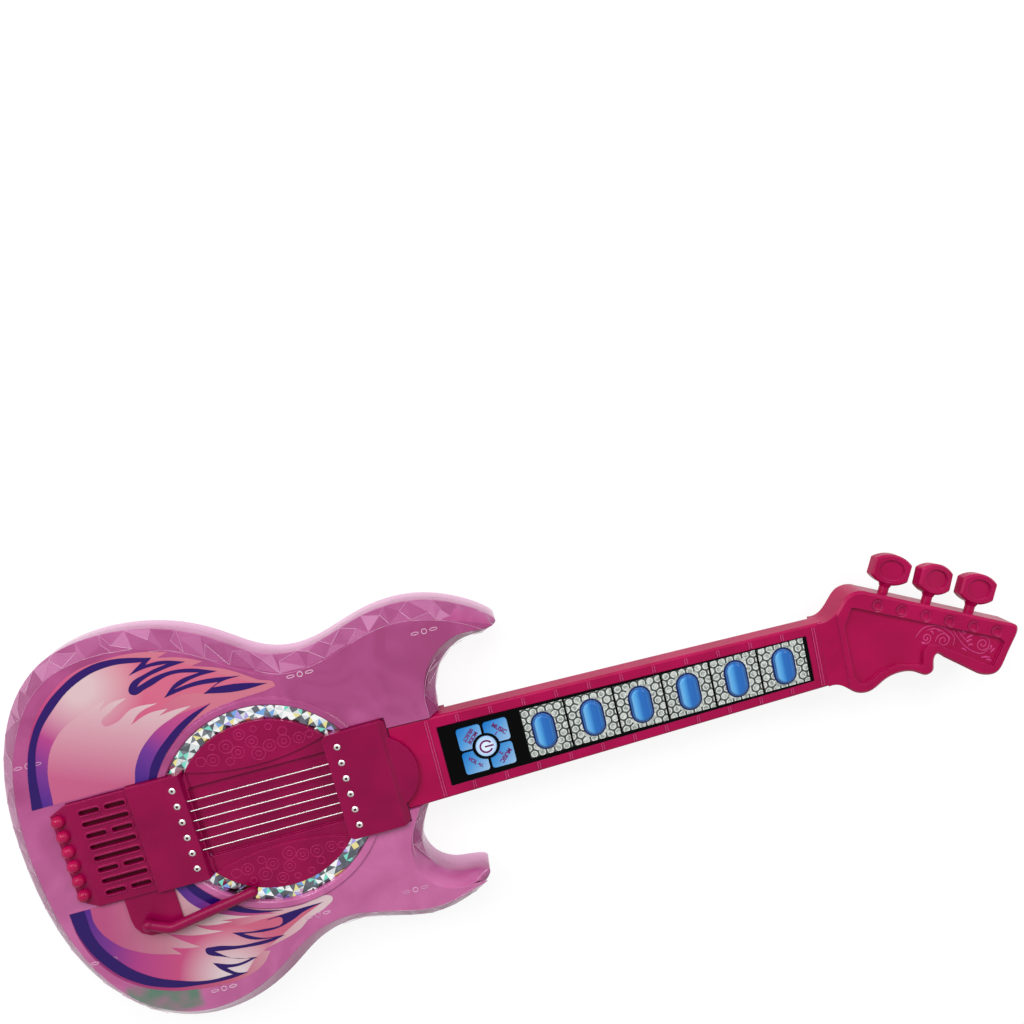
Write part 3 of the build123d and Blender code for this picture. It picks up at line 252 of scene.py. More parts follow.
def makeClearPink():
    # polystyrene moulded clear and tinted pink: milky streaks, painted shade darker towards +Y, and a painted
    # sheen: paler where the wall stands on edge
    material, tree, shader = newFinish("clearPinkPolystyrene", "#c04890", Roughness=0.16, IOR=1.59,
                                       Alpha=0.86, Specular_IOR_Level=0.35)
    place = addNode(tree, "TexCoord").outputs["Object"]
    axes = addNode(tree, "SeparateXYZ", {}, {"Vector": place})
    # streaks about 38 mm apart
    streaks = addNode(tree, "TexNoise", {"Scale": 26.0, "Detail": 3.0, "Distortion": 1.4}, {"Vector": place})
    shades = []
    for key in ("light", "dark"):
        shades.append(addNode(tree, "ValToRGB", {}, {"Fac": streaks.outputs["Fac"]}))
        setRamp(shades[-1], [(0.35, clearPlan[key][0]), (0.68, clearPlan[key][1])])
    # painted shade: the face darkens towards +Y
    slope = addNode(tree, "MapRange", {1: clearPlan["lightY"] * mm, 2: clearPlan["darkY"] * mm},
                    {0: axes.outputs["Y"]})
    faceTone = addNode(tree, "MixRGB", {},
                       {0: slope.outputs[0], 1: shades[0].outputs[0], 2: shades[1].outputs[0]})
    # shards about 17 mm wide
    shards = addNode(tree, "TexNoise", {"Scale": 60.0, "Detail": 1.0, "Distortion": 0.4}, {"Vector": place})
    rimRamp = addNode(tree, "ValToRGB", {}, {"Fac": shards.outputs["Fac"]})
    setRamp(rimRamp, [(0.35, clearPlan["rim"][0]), (0.7, clearPlan["rim"][1])])
    rise = addNode(tree, "MapRange", {1: clearPlan["footZ"] * mm, 2: clearPlan["faceZ"] * mm},
                   {0: axes.outputs["Z"]})
    tone = addNode(tree, "MixRGB", {}, {0: rise.outputs[0], 1: rimRamp.outputs[0], 2: faceTone.outputs[0]})
    # painted sheen: the side wall is mixed towards the pale edge colour
    foot = addNode(tree, "MapRange",
                   {1: clearPlan["backZ"] * mm, 2: clearPlan["footZ"] * mm, 3: 1.0, 4: 0.0},
                   {0: axes.outputs["Z"]})
    paler = addNode(tree, "MixRGB", {2: linear(clearPlan["edge"])}, {0: foot.outputs[0], 1: tone.outputs[0]})
    # the green board shows through the wall beside it
    masks = []
    for axis, low, high in zip("XY", clearPlan["boardLow"], clearPlan["boardHigh"]):
        up = addNode(tree, "MapRange", {1: (low - 2) * mm, 2: (low + 2) * mm}, {0: axes.outputs[axis]})
        down = addNode(tree, "MapRange", {1: (high - 2) * mm, 2: (high + 2) * mm, 3: 1.0, 4: 0.0},
                       {0: axes.outputs[axis]})
        masks += [up.outputs[0], down.outputs[0]]
    mask = masks[0]
    for other in masks[1:]:
        mask = addNode(tree, "Math", {"operation": "MULTIPLY"}, {0: mask, 1: other}).outputs[0]
    blur = addNode(tree, "MapRange", {1: 0.3, 2: 0.62, 3: 0.45, 4: 1.0}, {0: shards.outputs["Fac"]})
    mask = addNode(tree, "Math", {"operation": "MULTIPLY"}, {0: mask, 1: blur.outputs[0]}).outputs[0]
    tinted = addNode(tree, "MixRGB", {2: linear(clearPlan["boardTint"])}, {0: mask, 1: paler.outputs[0]})
    tree.links.new(tinted.outputs[0], shader.inputs["Base Color"])
    edges = addNode(tree, "Bevel", {"samples": 4, "Radius": 0.8 * mm})
    waves = addNode(tree, "Bump", {"Strength": 0.25, "Distance": 0.0006},
                    {"Height": streaks.outputs["Fac"], "Normal": edges.outputs["Normal"]})
    tree.links.new(waves.outputs["Normal"], shader.inputs["Normal"])
    return material


def makeClearFacet(name, low, middle, high, alpha):
    # the same polystyrene cut in flat facets: each facet gets a random tone between darker and paler, as
    # painted highlights
    material, tree, shader = newFinish(name, high, Roughness=0.12, IOR=1.59, Alpha=alpha)
    island = addNode(tree, "NewGeometry").outputs["Random Per Island"]
    ramp = addNode(tree, "ValToRGB", {}, {"Fac": island})
    setRamp(ramp, [(0.0, low), (0.55, middle), (1.0, high)])
    tree.links.new(ramp.outputs[0], shader.inputs["Base Color"])
    return material


def makePrismFoil():
    # embossed prismatic film: small squares and triangles, each with its own rainbow tint
    material, tree, shader = newFinish("prismFoilEmbossed", "#c8ccd0", Roughness=0.16, Metallic=1.0)
    turned = addNode(tree, "VectorRotate", {"rotation_type": "Z_AXIS", "Angle": 0.5},
                     {"Vector": addNode(tree, "TexCoord").outputs["Object"]})
    cells = addNode(tree, "VectorMath", {"operation": "SCALE", "Scale": 1 / (5.2 * mm)},
                    {0: turned.outputs[0]})  # 5.2 mm
    whole = addNode(tree, "VectorMath", {"operation": "FLOOR"}, {0: cells.outputs[0]})
    part = addNode(tree, "VectorMath", {"operation": "FRACTION"}, {0: cells.outputs[0]})
    spot = addNode(tree, "SeparateXYZ", {}, {0: part.outputs[0]})
    corner = addNode(tree, "SeparateXYZ", {}, {0: whole.outputs[0]})
    # each square pyramid has four faces, parted by its two diagonals
    total = addNode(tree, "Math", {"operation": "ADD"}, {0: spot.outputs[0], 1: spot.outputs[1]})
    upper = addNode(tree, "Math", {"operation": "GREATER_THAN", 1: 1.0}, {0: total.outputs[0]})
    right = addNode(tree, "Math", {"operation": "GREATER_THAN"}, {0: spot.outputs[0], 1: spot.outputs[1]})
    face = addNode(tree, "Math", {"operation": "MULTIPLY_ADD", 1: 2.0},
                   {0: upper.outputs[0], 2: right.outputs[0]})
    cell = addNode(tree, "CombineXYZ", {},
                   {0: corner.outputs[0], 1: corner.outputs[1], 2: face.outputs[0]})
    dice = addNode(tree, "TexWhiteNoise", {"noise_dimensions": "3D"}, {"Vector": cell.outputs[0]})
    tints = addNode(tree, "ValToRGB", {}, {"Fac": dice.outputs["Value"]})
    tints.color_ramp.interpolation = "CONSTANT"
    setRamp(tints, [(0.0, "#5c6268"), (0.16, "#d8dede"), (0.3, "#7fd8c4"), (0.38, "#7c8288"),
                    (0.52, "#e6dc96"), (0.6, "#b0a2e0"), (0.66, "#f4f4f4"), (0.8, "#7aa8e0"),
                    (0.86, "#6a6a76")])
    tree.links.new(tints.outputs["Color"], shader.inputs["Base Color"])
    tilt = addNode(tree, "VectorMath", {"operation": "SUBTRACT", 1: (0.5, 0.5, 0.5)},
                   {0: dice.outputs["Color"]})
    small = addNode(tree, "VectorMath", {"operation": "SCALE", "Scale": 0.5}, {0: tilt.outputs[0]})
    normal = addNode(tree, "NewGeometry").outputs["Normal"]
    leaning = addNode(tree, "VectorMath", {"operation": "ADD"}, {0: normal, 1: small.outputs[0]})
    unit = addNode(tree, "VectorMath", {"operation": "NORMALIZE"}, {0: leaning.outputs[0]})
    tree.links.new(unit.outputs[0], shader.inputs["Normal"])
    return material


def makeHoneycombPrint():
    # polycarbonate sheet printed on its face: pale grey honeycomb cells with dark and white edges
    material, tree, shader = newFinish("honeycombPrintedSheet", "#c9cdc8", Roughness=0.3)
    place = addNode(tree, "TexCoord").outputs["Object"]
    cells = addNode(tree, "TexVoronoi", {"feature": "DISTANCE_TO_EDGE", "Scale": 165.0, "Randomness": 0.8,
                                         "voronoi_dimensions": "2D"}, {"Vector": place})  # 6 mm cells
    rims = addNode(tree, "ValToRGB", {}, {"Fac": cells.outputs["Distance"]})
    setRamp(rims, [(0.0, "#8d958f"), (0.12, "#b4bab4"), (0.4, "#d4d8d3")])
    fine = addNode(tree, "TexVoronoi", {"feature": "DISTANCE_TO_EDGE", "Scale": 420.0,
                                        "voronoi_dimensions": "2D"}, {"Vector": place})  # 2.4 mm facets
    lines = addNode(tree, "ValToRGB", {}, {"Fac": fine.outputs["Distance"]})
    setRamp(lines, [(0.0, "#5a625e"), (0.1, "#a9b0aa"), (0.25, "#f4f6f3")])
    both = addNode(tree, "MixRGB", {"blend_type": "MULTIPLY", 0: 0.4},
                   {1: rims.outputs[0], 2: lines.outputs[0]})
    tree.links.new(both.outputs[0], shader.inputs["Base Color"])
    return material


keyPlan = {"start": 151.8, "pitch": 30, "footZ": 32.25, "foot": "#2560a4"}


def makeKeyBlue():
    # polystyrene keys moulded glossy blue, with a darker foot; paler towards one side of each key as a painted
    # highlight
    material, tree, shader = newFinish("keyBluePolystyrene", "#1a80d8", Roughness=0.14, IOR=1.59,
                                       Specular_IOR_Level=0.3)
    axes = addNode(tree, "SeparateXYZ", {}, {"Vector": addNode(tree, "TexCoord").outputs["Object"]})
    offset = addNode(tree, "Math", {"operation": "SUBTRACT", 1: keyPlan["start"] * mm},
                     {0: axes.outputs["X"]})
    turns = addNode(tree, "Math", {"operation": "DIVIDE", 1: keyPlan["pitch"] * mm}, {0: offset.outputs[0]})
    share = addNode(tree, "Math", {"operation": "FRACT"}, {0: turns.outputs[0]})
    # painted highlight across each key: pale on its left, deep blue in its middle, a paler line at its right
    # edge
    ramp = addNode(tree, "ValToRGB", {}, {"Fac": share.outputs[0]})
    setRamp(ramp, [(0.33, "#6ab0e2"), (0.42, "#4498d8"), (0.5, "#0a64b4"), (0.62, "#065cae"),
                   (0.68, "#2c82cc")])
    high = addNode(tree, "Math", {"operation": "GREATER_THAN", 1: keyPlan["footZ"] * mm},
                   {0: axes.outputs["Z"]})
    tone = addNode(tree, "MixRGB", {1: linear(keyPlan["foot"])}, {0: high.outputs[0], 2: ramp.outputs[0]})
    tree.links.new(tone.outputs[0], shader.inputs["Base Color"])
    edges = addNode(tree, "Bevel", {"samples": 4, "Radius": 0.9 * mm})
    tree.links.new(edges.outputs["Normal"], shader.inputs["Normal"])
    return material


def fadeAlong(tree, place, start, end):
    # 0 at the start of a straight run and 1 at its end
    run = end - start
    shifted = addNode(tree, "VectorMath", {"operation": "SUBTRACT", 1: start}, {0: place})
    along = addNode(tree, "VectorMath", {"operation": "DOT_PRODUCT", 1: run / run.length_squared},
                    {0: shifted.outputs[0]})
    return along.outputs["Value"]


def fadeAway(tree, place, centre, near, far, start, end):
    # from start to end between two distances in mm round a point on the face
    away = addNode(tree, "VectorMath", {"operation": "DISTANCE", 1: Vector((*centre, 32)) * mm}, {0: place})
    share = addNode(tree, "MapRange", {1: near * mm, 2: far * mm, 3: start, 4: end},
                    {0: away.outputs["Value"]})
    return share.outputs[0]


def makePadBlue(name, low, high):
    # silicone-backed pad with a printed gloss film: blue at one corner, pale at the other
    material, tree, shader = newFinish(name, "#3a94e0", Roughness=0.25, Specular_IOR_Level=0.2)
    place = addNode(tree, "TexCoord").outputs["Object"]
    ramp = addNode(tree, "ValToRGB", {}, {"Fac": fadeAlong(tree, place, Vector(low), Vector(high))})
    setRamp(ramp, [(0.1, "#1272c0"), (0.45, "#4a92d0"), (0.9, "#8fb6dc")])
    tree.links.new(ramp.outputs[0], shader.inputs["Base Color"])
    edges = addNode(tree, "Bevel", {"samples": 4, "Radius": 0.3 * mm})
    tree.links.new(edges.outputs["Normal"], shader.inputs["Normal"])
    return material


def makeInk(name, stops, centre=None, start=None, end=None, glow=None):
    # ink printed under a clear gloss: a smooth blend of colour, slightly grained
    material, tree, shader = newFinish(name, stops[-1][1], Roughness=0.3, Specular_IOR_Level=0.2)
    place = addNode(tree, "TexCoord").outputs["Object"]
    if len(stops) > 1:
        if centre:
            fac = fadeAway(tree, place, centre, 0, end, 0.0, 1.0)
        else:
            fac = fadeAlong(tree, place, Vector((*start, 0)) * mm, Vector((*end, 0)) * mm)
        grain = addNode(tree, "TexNoise", {"Scale": 2500.0, "Detail": 1.0},
                        {"Vector": place})  # 0.4 mm screen dots
        shake = addNode(tree, "MapRange", {1: 0.3, 2: 0.7, 3: -0.02, 4: 0.02}, {0: grain.outputs["Fac"]})
        total = addNode(tree, "Math", {"operation": "ADD"}, {0: fac, 1: shake.outputs[0]})
        ramp = addNode(tree, "ValToRGB", {}, {"Fac": total.outputs[0]})
        setRamp(ramp, stops)
        tone = ramp.outputs[0]
        if glow:
            middle, reach, colour = glow
            pale = fadeAway(tree, place, middle, 0.2 * reach, reach, 1.0, 0.0)
            tone = addNode(tree, "MixRGB", {2: linear(colour)}, {0: pale, 1: tone}).outputs[0]
        tree.links.new(tone, shader.inputs["Base Color"])
    return material


def makeNickel(name="nickelPlatedSteel", roughness=0.22):
    # steel, stamped and nickel plated: bright with fine drawing marks
    material, tree, shader = newFinish(name, "#c9c6c4", Roughness=roughness, Metallic=1.0)
    place = addNode(tree, "TexCoord").outputs["Object"]
    grain = addNode(tree, "TexNoise", {"Scale": 1200.0, "Detail": 2.0}, {"Vector": place})  # 0.8 mm marks
    shine = addNode(tree, "MapRange", {1: 0.3, 2: 0.7, 3: roughness - 0.08, 4: roughness + 0.12},
                    {0: grain.outputs["Fac"]})
    tree.links.new(shine.outputs[0], shader.inputs["Roughness"])
    return material


magentaAbs = makeMagentaAbs("magentaAbsMoulded", "#7e003c", "#8e0444", "#b81e66")
magentaNeck = makeMagentaAbs("magentaNeckMoulded", "#96003f", "#a60249", "#c42a70")
# paler copies of the moulded magenta for raised rings and lines: painted highlight
magentaRelief = makeMagentaAbs("magentaReliefPaintedHighlight", "#a00c50", "#ac1658", "#d0407f", 0.22)
magentaLineHighlight = makeMagentaAbs("magentaEdgePaintedHighlight", "#bc2c70", "#c43a7a", "#e070a4", 0.22)
magentaBall = makeMagentaAbs("magentaBallPolished", "#9c0440", "#aa0a4a", "#c43a7a", 0.12)
# darker copy of the moulded magenta: painted shade for the grille slots and pin holes
slotShade = makeMagentaAbs("crimsonPaintedShade", "#4a0018", "#56021f", "#56021f", 0.6)
clearPink = makeClearPink()
clearFacet = makeClearFacet("clearPinkFacetPaintedHighlights", "#a0447c", "#b45c94", "#d692be", 0.45)
# paler copy of the clear pink for ridge lines: painted highlight
clearRidgeHighlight = makeClearFacet("clearPinkRidgeHighlight", "#d490ba", "#dea6c8", "#eecbe0", 0.7)
prismFoil = makePrismFoil()
honeycombPrint = makeHoneycombPrint()
keyBlue = makeKeyBlue()
nickel = makeNickel()
slotFinishes = {
    "clear_pink": clearPink,
    "magenta": magentaAbs,
    "prism_foil": prismFoil,
    "steel": nickel,
    "contact_metal": makeNickel("tinnedSheetSteel", 0.35),
    "overlay_black": makePlainPlastic("overlayPolycarbonateGloss", "#020203", 0.2, 0.0002, IOR=1.3,
                                       Specular_IOR_Level=0.1),
    "key_blue": keyBlue,
    "board_green": makePlainPlastic("boardSolderMask", "#1f6a3e", 0.4),
    "contact_rubber": makePlainPlastic("carbonSiliconeMoulded", "#4b4b50", 0.7),
    "board_plastic": makePlainPlastic("naturalAbsMoulded", "#cfc9bf", 0.45),
    "door_pink": magentaAbs,
    "led_clear": makePlainPlastic("lampEpoxyCast", "#e8e8ef", 0.08, IOR=1.5),
    "magnet_black": makePlainPlastic("ferriteSintered", "#26262a", 0.6),
    "cone_paper": makePlainPlastic("conePaperPressed", "#3c3936", 0.9),
    "cell_wrap": makePlainPlastic("cellSleeveShrunk", "#2d3d7a", 0.3),
}


neckNodes = ("neck_front_shell", "neck_rear_shell", "tuner_1", "tuner_2", "tuner_3")


def dressNodes():
    for row in frame["record"]["subparts"]:
        node = frame["nodes"][row["node"]]
        finish = slotFinishes[row["material_slot"]]
        if row["node"] == "ball_pegs":
            finish = magentaBall
        elif row["node"] in neckNodes:
            finish = magentaNeck
        for spot in node.material_slots:
            spot.material = finish


dressNodes()
print("CAD nodes dressed")


# shared makers of pieces
sheetHalf = 0.02   # half the thickness in mm of a printed film
flatten = 0.6      # height of a raised line to its width


def addPiece(name, data, material, body):
    piece = bpy.data.objects.new(name, data)
    bpy.context.scene.collection.objects.link(piece)
    data.materials.clear()
    data.materials.append(material)
    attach(piece, body)
    return piece


def meshOf(curve):
    holder = bpy.data.objects.new("holder", curve)
    bpy.context.scene.collection.objects.link(holder)
    bpy.context.view_layer.update()
    data = bpy.data.meshes.new_from_object(holder.evaluated_get(bpy.context.evaluated_depsgraph_get()))
    bpy.data.objects.remove(holder)
    return data


def meshFrom(shape, name):
    data = bpy.data.meshes.new(name)
    shape.to_mesh(data)
    shape.free()
    return data


def addLine(curve, points, closed=False):
    # points in metres: x, y, z and the share of the line's full width
    spline = curve.splines.new("POLY")
    spline.points.add(len(points) - 1)
    for knot, (x, y, z, swell) in zip(spline.points, points):
        knot.co = (x, y, z, 1)
        knot.radius = swell
    spline.use_cyclic_u = closed


def newCurve(dimensions, **settings):
    curve = bpy.data.curves.new("outline", "CURVE")
    curve.dimensions = dimensions
    for key, value in settings.items():
        setattr(curve, key, value)
    return curve


def printShape(name, points, level, material, body="guitar", base=32.0, smooth=6):
    curve = newCurve("2D", fill_mode="BOTH", resolution_u=smooth, extrude=sheetHalf * mm)
    spline = curve.splines.new("BEZIER")
    spline.bezier_points.add(len(points) - 1)
    for knot, point in zip(spline.bezier_points, points):
        knot.co = (point[0] * mm, point[1] * mm, 0)
        kind = "VECTOR" if len(point) > 2 else "AUTO"
        knot.handle_left_type = kind
        knot.handle_right_type = kind
    spline.use_cyclic_u = True
    data = meshOf(curve)
    data.transform(Matrix.Translation((0, 0, (base + level) * mm)))
    return addPiece(name, data, material, body)


def relief(name, strokes, thick, height, material, body):
    # raised lines: each stroke is a list of x, y points in mm, and may be closed
    curve = newCurve("3D", bevel_depth=thick * mm, bevel_resolution=2, use_fill_caps=True)
    for points, closed in strokes:
        addLine(curve, [(x * mm, y * mm, 0, swell[0] if swell else 1) for x, y, *swell in points], closed)
    data = meshOf(curve)
    data.transform(Matrix.Scale(flatten, 4, (0, 0, 1)))
    data.transform(Matrix.Translation((0, 0, height * mm)))
    for face in data.polygons:
        face.use_smooth = True
    return addPiece(name, data, material, body)


def circlePoints(x, y, radius, count=28):
    turns = [2 * math.pi * i / count for i in range(count)]
    return [(x + radius * math.cos(t), y + radius * math.sin(t)) for t in turns]


# wing prints on the face
wingPlan = {"step": 0.06}
fieldStops = [(0.0, "#c4607c"), (0.35, "#bc4a7a"), (0.6, "#a83c7e"), (0.8, "#743084"), (1.0, "#4a2280")]
shadeStops = [(0.0, "#40207c"), (0.35, "#6a3088"), (0.6, "#a03c80"), (1.0, "#b84a7c")]
upperWing = {
    # part: start and end of its blend, colours, pale spot
    "inks": {
        "border": ((-129, 40), (-45, 105),
                   [(0.0, "#7c2468"), (0.3, "#a0306a"), (0.6, "#bc4c7a"), (1.0, "#c06c80")], None),
        "field": ((-60, 100), (-126, 40), fieldStops, ((-82, 97), 36, "#ccb0b4")),
        "plume": ((-60, 85), (-82, 36), [(0.0, "#ccb0b4"), (0.4, "#c692a0"), (1.0, "#b8587e")], None),
        "shade": ((-66, 33), (-24, 66), shadeStops, None),
    },
    "border": [(-129, 33.8, 1), (-123, 60.3), (-117.6, 73.7), (-109.9, 86.4), (-95.6, 99.4),
               (-81.2, 106.7), (-66.3, 108.8), (-46.2, 108.3), (-29.6, 104.2, 1), (-35.8, 102.4, 1),
               (-23.4, 99.2), (-12.2, 93.9, 1), (-19.2, 92.9, 1), (-2.4, 86.6), (14, 75.5), (22.8, 69.6),
               (20, 68.4), (0, 66.8), (-17.5, 64.2), (-33.5, 57.5), (-47, 47), (-57.2, 33.8, 1)],
    "field": [(-126.5, 33.8, 1), (-121.1, 59.7), (-113.8, 76), (-104.4, 87.6), (-91.6, 97.7),
              (-75.6, 105.2), (-59.9, 106.6), (-40.8, 102.7, 1), (-25.2, 96.7), (-9.6, 87),
              (13.4, 73.2, 1), (-11.1, 74.7), (-35.2, 77), (-51.6, 60.5, 1), (-60, 33.8, 1)],
    "stroke": [(-129, 33.8, 1), (-122.9, 60.3), (-115.4, 76.4), (-105.5, 89), (-92.7, 99.1),
               (-76.1, 106.8), (-60.5, 108.1), (-38.7, 103.4, 1), (-43.3, 100.3, 1), (-34.4, 100.2),
               (-21.5, 96.3, 1), (-36, 94.8), (-48.3, 91.4), (-51.7, 88.8, 1), (-36.6, 92.8),
               (-22.5, 92.2), (-6.1, 86.3, 1), (-19.2, 85.8), (-32.9, 82.1, 1), (-16.8, 83.5),
               (5.6, 80.2, 1), (-5.5, 79.6), (-11.3, 77.5, 1), (2.8, 76.1), (19, 71.9, 1), (1.5, 71.7),
               (-17.1, 75.3, 1), (-7, 79.9, 1), (-21.7, 81), (-38.8, 78.8, 1), (-29.5, 85.9),
               (-15.7, 88.2, 1), (-31, 91), (-46.6, 86.8), (-55.7, 85.5), (-55.7, 89.9), (-44, 95.4),
               (-31.2, 97.8, 1), (-43.1, 98.4), (-53.9, 96.5, 1), (-44.5, 102.4, 1), (-63.6, 104.6),
               (-82.3, 100), (-100.4, 87.6), (-112.3, 74.4), (-119.2, 57.5), (-123, 33.8, 1)],
    "plume": [(-116.7, 33.8, 1), (-112.2, 57.7), (-102.1, 72.7), (-87.2, 81.1), (-70.5, 86.3, 1),
              (-76, 80.2, 1), (-68, 83.8), (-58.9, 84.3, 1), (-68.9, 79.3), (-76.2, 72.5), (-69.8, 71.5),
              (-57.8, 77.3), (-43.3, 76.8, 1), (-54.8, 73.7), (-61.1, 68.2, 1), (-50.1, 72.1),
              (-38.7, 72.2, 1), (-44.5, 69.3, 1), (-35.2, 70.4), (-25.6, 70.3, 1), (-38.6, 65.8),
              (-56, 56.2), (-65.6, 44.3), (-69.4, 33.8, 1)],
    "shade": [(-69.4, 33.8, 1), (-65.6, 44.3), (-56, 56.2), (-38.6, 65.8), (-14.9, 68.9, 1), (-30.3, 60.5),
              (-45, 49.5), (-55, 33.8, 1)],
    "quill": [(-61.5, 33.8, 1), (-56.5, 43.3), (-43.5, 55.8), (-29, 64.6), (-14.9, 68.9, 1), (-26, 62.8),
              (-39, 54), (-50.5, 43), (-56.6, 33.8, 1)],
}
lowerWing = {
    "inks": {
        "border": ((-129, -40), (12, -74),
                   [(0.0, "#7c2468"), (0.35, "#a83a70"), (0.62, "#bc5c7a"), (0.85, "#cca2aa"),
                     (1.0, "#d4bcc0")],
                   None),
        "field": ((-45, -85), (-126, -45), fieldStops, ((-50, -99), 32, "#d8c6ca")),
        "plume": ((-48, -64), (-112, -50), [(0.0, "#d0b4b8"), (0.5, "#b87488"), (1.0, "#b04c7a")], None),
        "shade": ((-66, -33), (-24, -66), shadeStops, None),
    },
    "border": [(-129, -33.8, 1), (-128.4, -50), (-120.6, -72), (-108, -87), (-90, -97.3), (-72, -101.8),
               (-55, -103.6), (-40, -101.5), (-31, -97), (-24.9, -90.1, 1), (-31, -88.4, 1), (-18, -86),
               (-4, -81.5), (2, -77), (14.5, -72), (19.3, -67.5), (16, -64.9), (0, -66.8), (-17.5, -64.2),
               (-33.5, -57.5), (-47, -47), (-57.2, -33.8, 1)],
    "field": [(-126, -33.8, 1), (-124, -52), (-116, -70), (-104, -84), (-88, -93.8), (-70, -98.4),
              (-50, -99.8), (-42, -99.2, 1), (-34.5, -91.8, 1), (-15.5, -82.2, 1), (-2, -75),
              (12, -68.9, 1), (-20, -69), (-45, -66), (-60, -33.8, 1)],
    "stroke": [(-129, -33.8, 1), (-127.3, -51), (-119.1, -71.2), (-106.9, -85.5), (-89.5, -95.2),
               (-72.1, -99.1), (-52, -100.7), (-41.4, -99.6, 1), (-47.5, -98), (-52.7, -93.3, 1),
               (-44.5, -94), (-33.5, -91.7, 1), (-46.6, -88.6), (-56.5, -80.8, 1), (-39.6, -83.5),
               (-23, -84.4), (-14, -82.5, 1), (-26.6, -80.7), (-37.5, -74.7, 1), (-19.1, -77.2),
               (-7.4, -74.6), (0.7, -71.2), (13.5, -68.5, 1), (-1.4, -68.7), (-13, -69.4),
               (-22.2, -70.2, 1), (-12.5, -72.4), (-27.8, -75.1), (-43.3, -72.2, 1), (-33.8, -79.5),
               (-20.6, -82.5, 1), (-29.9, -82.3), (-40.9, -81.5), (-56.5, -77.7), (-61.3, -78.3),
               (-51.5, -86.1), (-37.2, -91.6, 1), (-46.8, -92.3), (-59.5, -87.8, 1), (-56.3, -93),
               (-50.4, -98.5, 1), (-66.1, -97.8), (-81.5, -93), (-98.2, -84), (-110.7, -70.7),
               (-119.6, -52.4), (-120.3, -33.8, 1)],
    "plume": [(-116.6, -33.8, 1), (-116.9, -44), (-111, -57.1), (-98, -68.4), (-74.9, -77.2, 1),
              (-79.9, -70.9, 1), (-72, -73.9), (-63.5, -75.5, 1), (-73, -67.9), (-79, -61.9, 1),
              (-64.6, -67.4), (-47.7, -69.7, 1), (-56.7, -65.7), (-63.4, -60.5, 1), (-54.3, -63.8),
              (-40.8, -65.3, 1), (-47.4, -62.5, 1), (-38.6, -64), (-29.2, -65.3, 1), (-42, -60.5),
              (-58.5, -49.9), (-67.1, -33.8, 1)],
    "shade": [(-67.1, -33.8, 1), (-58.5, -49.9), (-42, -60.5), (-14.9, -67.6, 1), (-30.3, -60.5),
              (-45, -49.5), (-55, -33.8, 1)],
    "quill": [(-61.5, -33.8, 1), (-56.5, -43.3), (-43.5, -55.8), (-29, -63.2), (-10, -66.9, 1),
              (-26, -61.8), (-39, -53.6), (-50.5, -43), (-56.6, -33.8, 1)],
}


def makeWings():
    indigo = makeInk("indigoInkPrinted", [(0.0, "#25085a")])
    for side, wing in (("upper", upperWing), ("lower", lowerWing)):
        finishes = {part: makeInk(side + part.capitalize() + "InkPrinted", stops,
                                  start=start, end=end, glow=glow)
                    for part, (start, end, stops, glow) in wing["inks"].items()}
        for level, (part, finish) in enumerate(
                (("border", finishes["border"]), ("field", finishes["field"]), ("plume", finishes["plume"]),
                 ("shade", finishes["shade"]), ("stroke", indigo), ("quill", indigo)), start=1):
            printShape(side + "Wing" + part.capitalize(), wing[part], level * wingPlan["step"], finish)


makeWings()
print("wing prints made")

# facetted rim and screw bosses of the clear shell
rimPlan = {
    "pitch": 14.0, "lift": 0.95, "edge": 0.32, "ridge": 0.12, "seed": 7,
    "lowZ": 22.0, "highZ": 32.0, "level": 0.002,
    "startNear": (109, 30), "near": 1.9, "longest": 6,
    # shares of the slope for the foot and top of a facet, and of the facet for its peak
    "foot": 0.02, "top": 0.97, "skew": 0.2, "peakAlong": (0.15, 0.85), "peakAcross": (0.25, 0.75),
}


def rimPairs():
    # points along the foot of the sloping band, each with its partner at the top of the slope
    data = frame["nodes"]["front_shell"].data
    partners = {}
    neighbours = {}

    def spotAt(vertex, z):
        near = abs(vertex.co.z - z * mm) < rimPlan["level"] * mm
        return (round(vertex.co.x, 6), round(vertex.co.y, 6)) if near else None

    for edge in data.edges:
        ends = [data.vertices[i] for i in edge.vertices]
        lows = [spotAt(v, rimPlan["lowZ"]) for v in ends]
        highs = [spotAt(v, rimPlan["highZ"]) for v in ends]
        for low, high in ((lows[0], highs[1]), (lows[1], highs[0])):
            if low and high:
                partners.setdefault(low, set()).add(high)
        if lows[0] and lows[1]:
            neighbours.setdefault(lows[0], set()).add(lows[1])
            neighbours.setdefault(lows[1], set()).add(lows[0])
    ends = [spot for spot in neighbours if len(neighbours[spot]) == 1]
    chain = [min(ends, key=lambda spot: math.dist(spot, [v * mm for v in rimPlan["startNear"]]))]
    seen = set(chain)
    while True:
        free = [spot for spot in neighbours[chain[-1]] if spot not in seen]
        if not free:
            break
        chain.append(min(free, key=lambda spot: math.dist(spot, chain[-1])))
        seen.add(chain[-1])
    known = [i for i, spot in enumerate(chain) if spot in partners]
    rows = []
    for i, spot in enumerate(chain):
        source = chain[min(known, key=lambda k: abs(k - i))]
        tops = partners[source]
        inward = [sum(t[i] for t in tops) / len(tops) - source[i] for i in (0, 1)]
        rows.append((Vector((*spot, rimPlan["lowZ"] * mm)),
                     Vector((spot[0] + inward[0], spot[1] + inward[1], rimPlan["highZ"] * mm))))
    return rows


